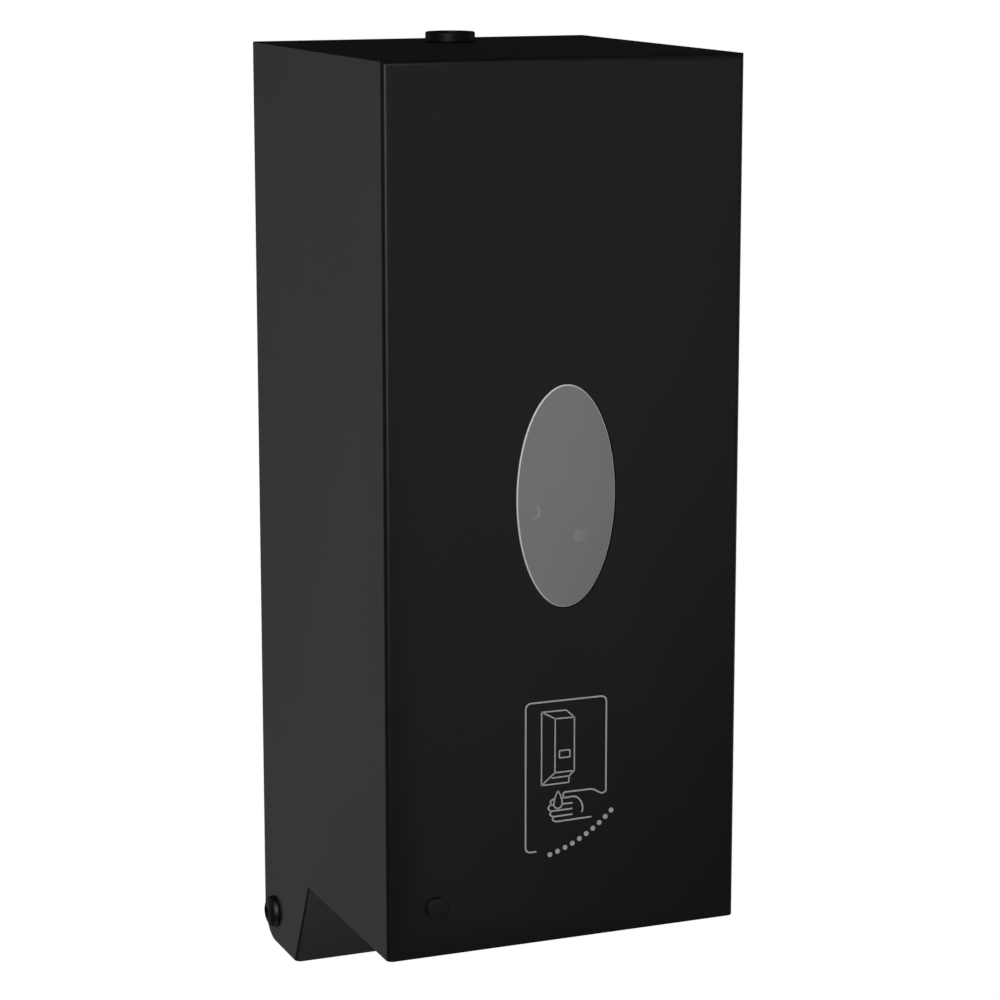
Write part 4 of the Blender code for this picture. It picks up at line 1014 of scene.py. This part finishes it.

# %% [markdown]
# ## Batteries and board
# A cell is a steel can in a printed film, so its finish has three zones along its length: bare steel
# ends, a copper band and a dark blue wrap. The circuit board shows its copper tracks as a slightly
# paler green.


# %% Electrical finishes
def cell_finish():
    box_low, box_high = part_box("battery_box")
    finish = Finish("battery film", (0.02, 0.035, 0.09), 0.28)
    x = finish.axis("X")
    band = (x > box_high.x - 16 * MM) * (x < box_high.x - 3.2 * MM)
    end = (x > box_high.x - 3.2 * MM) + (x < box_low.x + 2.2 * MM)
    film = finish.mix(band, (0.02, 0.035, 0.09, 1), (0.55, 0.27, 0.12, 1))
    scuff = finish.noise(6 * MM, 4)
    worn = finish.mix(scuff * 0.3, film, (0.1, 0.11, 0.13, 1))
    finish.drive("Base Color", finish.mix(end, worn, (0.6, 0.6, 0.58, 1)))
    finish.drive("Metallic", end)
    finish.drive("Roughness", 0.22 + scuff * 0.12)
    finish.bump(finish.noise(3 * MM, 2), 0.05, 0.05 * MM)
    return finish.material


def board_finish():
    finish = Finish("green circuit board", (0.012, 0.09, 0.035), 0.32)
    tracks = finish.node("ShaderNodeTexBrick", None, {
        "Vector": finish.place, "Scale": 260.0, "Mortar Size": 0.02, "Color1": (0, 0, 0, 1),
        "Color2": (0.3, 0.3, 0.3, 1), "Mortar": (1, 1, 1, 1)}, "Color")
    weave = finish.noise(0.8 * MM, 2)
    green = finish.mix(weave, tint(finish.colour, 0.85), tint(finish.colour, 1.15))
    finish.drive("Base Color", finish.mix(tracks, green, (0.03, 0.2, 0.08, 1)))
    finish.drive("Roughness", 0.3 + weave * 0.1)
    finish.bump(weave, 0.1, 0.03 * MM)
    return finish.material


CELL_FILM = cell_finish()
BOARD = board_finish()
print("cell film", len(CELL_FILM.node_tree.nodes), "nodes, board", len(BOARD.node_tree.nodes), "nodes")

# %% [markdown]
# The box, cells, contacts and board keep the shapes of the CAD model. Only their edges are softened,
# less on thin sheet than on moulded plastic.

# %% Batteries and board
refine("battery_box", BLACK_PLASTIC, 0.4 * MM)
refine("battery_door", BLACK_PLASTIC, 0.3 * MM)
for number in (1, 2, 3, 4):
    refine("battery_%d" % number, CELL_FILM, 0.15 * MM)
for word in ("right", "left"):
    refine("battery_contact_" + word, STAINLESS_ACROSS, 0.05 * MM, 1)
refine("circuit_board", BOARD, 0.1 * MM, 1)
refine("control_chip", BLACK_PLASTIC, 0.2 * MM)
refine("cable_connector", WHITE_ACETAL, 0.3 * MM)
refine("capacitor", BLACK_PLASTIC, 0.4 * MM)
refine("switch_case", STAINLESS_ACROSS, 0.25 * MM)
refine("switch_knob", WHITE_ACETAL, 0.3 * MM)
refine("button_case", BLACK_PLASTIC, 0.3 * MM)
refine("dose_button", RED_PLASTIC, 0.2 * MM)
print("CAD pieces refined so far", refined_so_far())

# %% [markdown]
# ## Tank, valve and tube
# A blown tank has large soft rounds on every edge, since the plastic stretches thin into a sharp corner.
# The tube and the lead keep their CAD meshes, which are already smooth, and get their own finish.

# %% Tank, valve and tube
refine("soap_tank", TANK_PLASTIC, 0.9 * MM, 4)
refine("tank_lid", TANK_PLASTIC, 0.35 * MM)
refine("outlet_valve", WHITE_ACETAL, 0.3 * MM)
refine("lid_pin", STAINLESS_ACROSS, 0.1 * MM)
for node, finish in (("pump_tube", SILICONE), ("motor_lead", WIRE)):
    nodes[node].data.materials[0] = finish
    nodes[node].data.shade_smooth()
print("CAD pieces refined", refined_so_far())


# %% [markdown]
# ## Floor and light
# The object hangs in front of white, at the height of a wall dispenser above a pale floor. Matt black
# shows light mostly as soft reflection, so the lamps are placed where the faces mirror them. The left
# side mirrors a softbox that stands behind it to the left. The folded front edge mirrors a strip beside
# the camera as a thin bright line, and a small high lamp draws a faint line along the top fold. The top
# itself faces nothing bright and stays the darkest. Dim lamps light the right side and the back. The floor
# has a lamp of its own, close above it, and is kept small because the angled skirt mirrors it.


# %% Floor and lamps
MOUNTING_HEIGHT = 1.1
FLOOR_WIDTH = 1.1


def floor():
    bm = bmesh.new()
    bmesh.ops.create_grid(bm, x_segments=1, y_segments=1, size=FLOOR_WIDTH / 2,
                          matrix=Matrix.Translation((0, 0, BOTTOM - MOUNTING_HEIGHT)))
    ground = object_from("floor", bm)
    pale = Finish("pale floor", (0.82, 0.82, 0.82), 0.7)
    pale.drive("Base Color", pale.mix(pale.noise(0.4, 2), tint(pale.colour, 0.98), tint(pale.colour, 1.02)))
    ground.data.materials.append(pale.material)


def softbox(name, place, width, height, power, aim=None):
    """A rectangular lamp that faces the object, or the point given, and isn't seen itself."""
    lamp = bpy.data.lights.new(name, "AREA")
    lamp.shape = "RECTANGLE"
    lamp.size = width
    lamp.size_y = height
    lamp.energy = power
    stand = bpy.data.objects.new(name, lamp)
    stand.location = place
    aim = aim or (0, (FRONT + REAR) / 2, 0)
    stand.rotation_euler = (Vector(aim) - Vector(place)).to_track_quat("-Z", "Y").to_euler()
    stand.visible_camera = False
    bpy.context.scene.collection.objects.link(stand)


def white_surround(fill_strength, seen_strength):
    """White behind the object for the camera, and a dimmer even fill for everything it lights."""
    world = bpy.data.worlds.new("surround")
    bpy.context.scene.world = world
    world.use_nodes = True
    tree = world.node_tree
    fill = tree.nodes["Background"]
    fill.inputs["Color"].default_value = (1, 1, 1, 1)
    fill.inputs["Strength"].default_value = fill_strength
    seen = tree.nodes.new("ShaderNodeBackground")
    seen.inputs["Color"].default_value = (1, 1, 1, 1)
    seen.inputs["Strength"].default_value = seen_strength
    rays = tree.nodes.new("ShaderNodeLightPath")
    choice = tree.nodes.new("ShaderNodeMixShader")
    tree.links.new(rays.outputs["Is Camera Ray"], choice.inputs["Fac"])
    tree.links.new(fill.outputs["Background"], choice.inputs[1])
    tree.links.new(seen.outputs["Background"], choice.inputs[2])
    tree.links.new(choice.outputs["Shader"], tree.nodes["World Output"].inputs["Surface"])


floor()
white_surround(fill_strength=0.014, seen_strength=1.0)
softbox("rear left softbox", place=(-1.0, 1.4, -0.3), width=0.8, height=1.8, power=2.9)
softbox("front left strip", place=(-1.1, -1.7, 0.9), width=0.25, height=1.4, power=30)
softbox("front right fill", place=(0.9, -2.2, -0.1), width=1.0, height=1.6, power=3.4)
softbox("rear right lamp", place=(0.9, 1.2, -0.7), width=1.6, height=1.6, power=4)
softbox("high front lamp", place=(0.87, -1.57, 1.74), width=0.5, height=0.5, power=2)
softbox("right softbox", place=(2.2, 0.1, -0.1), width=1.4, height=1.8, power=5)
softbox("floor wash", place=(0, 0, BOTTOM - 0.6), width=FLOOR_WIDTH, height=FLOOR_WIDTH, power=3.2,
        aim=(0, 0, BOTTOM - MOUNTING_HEIGHT))
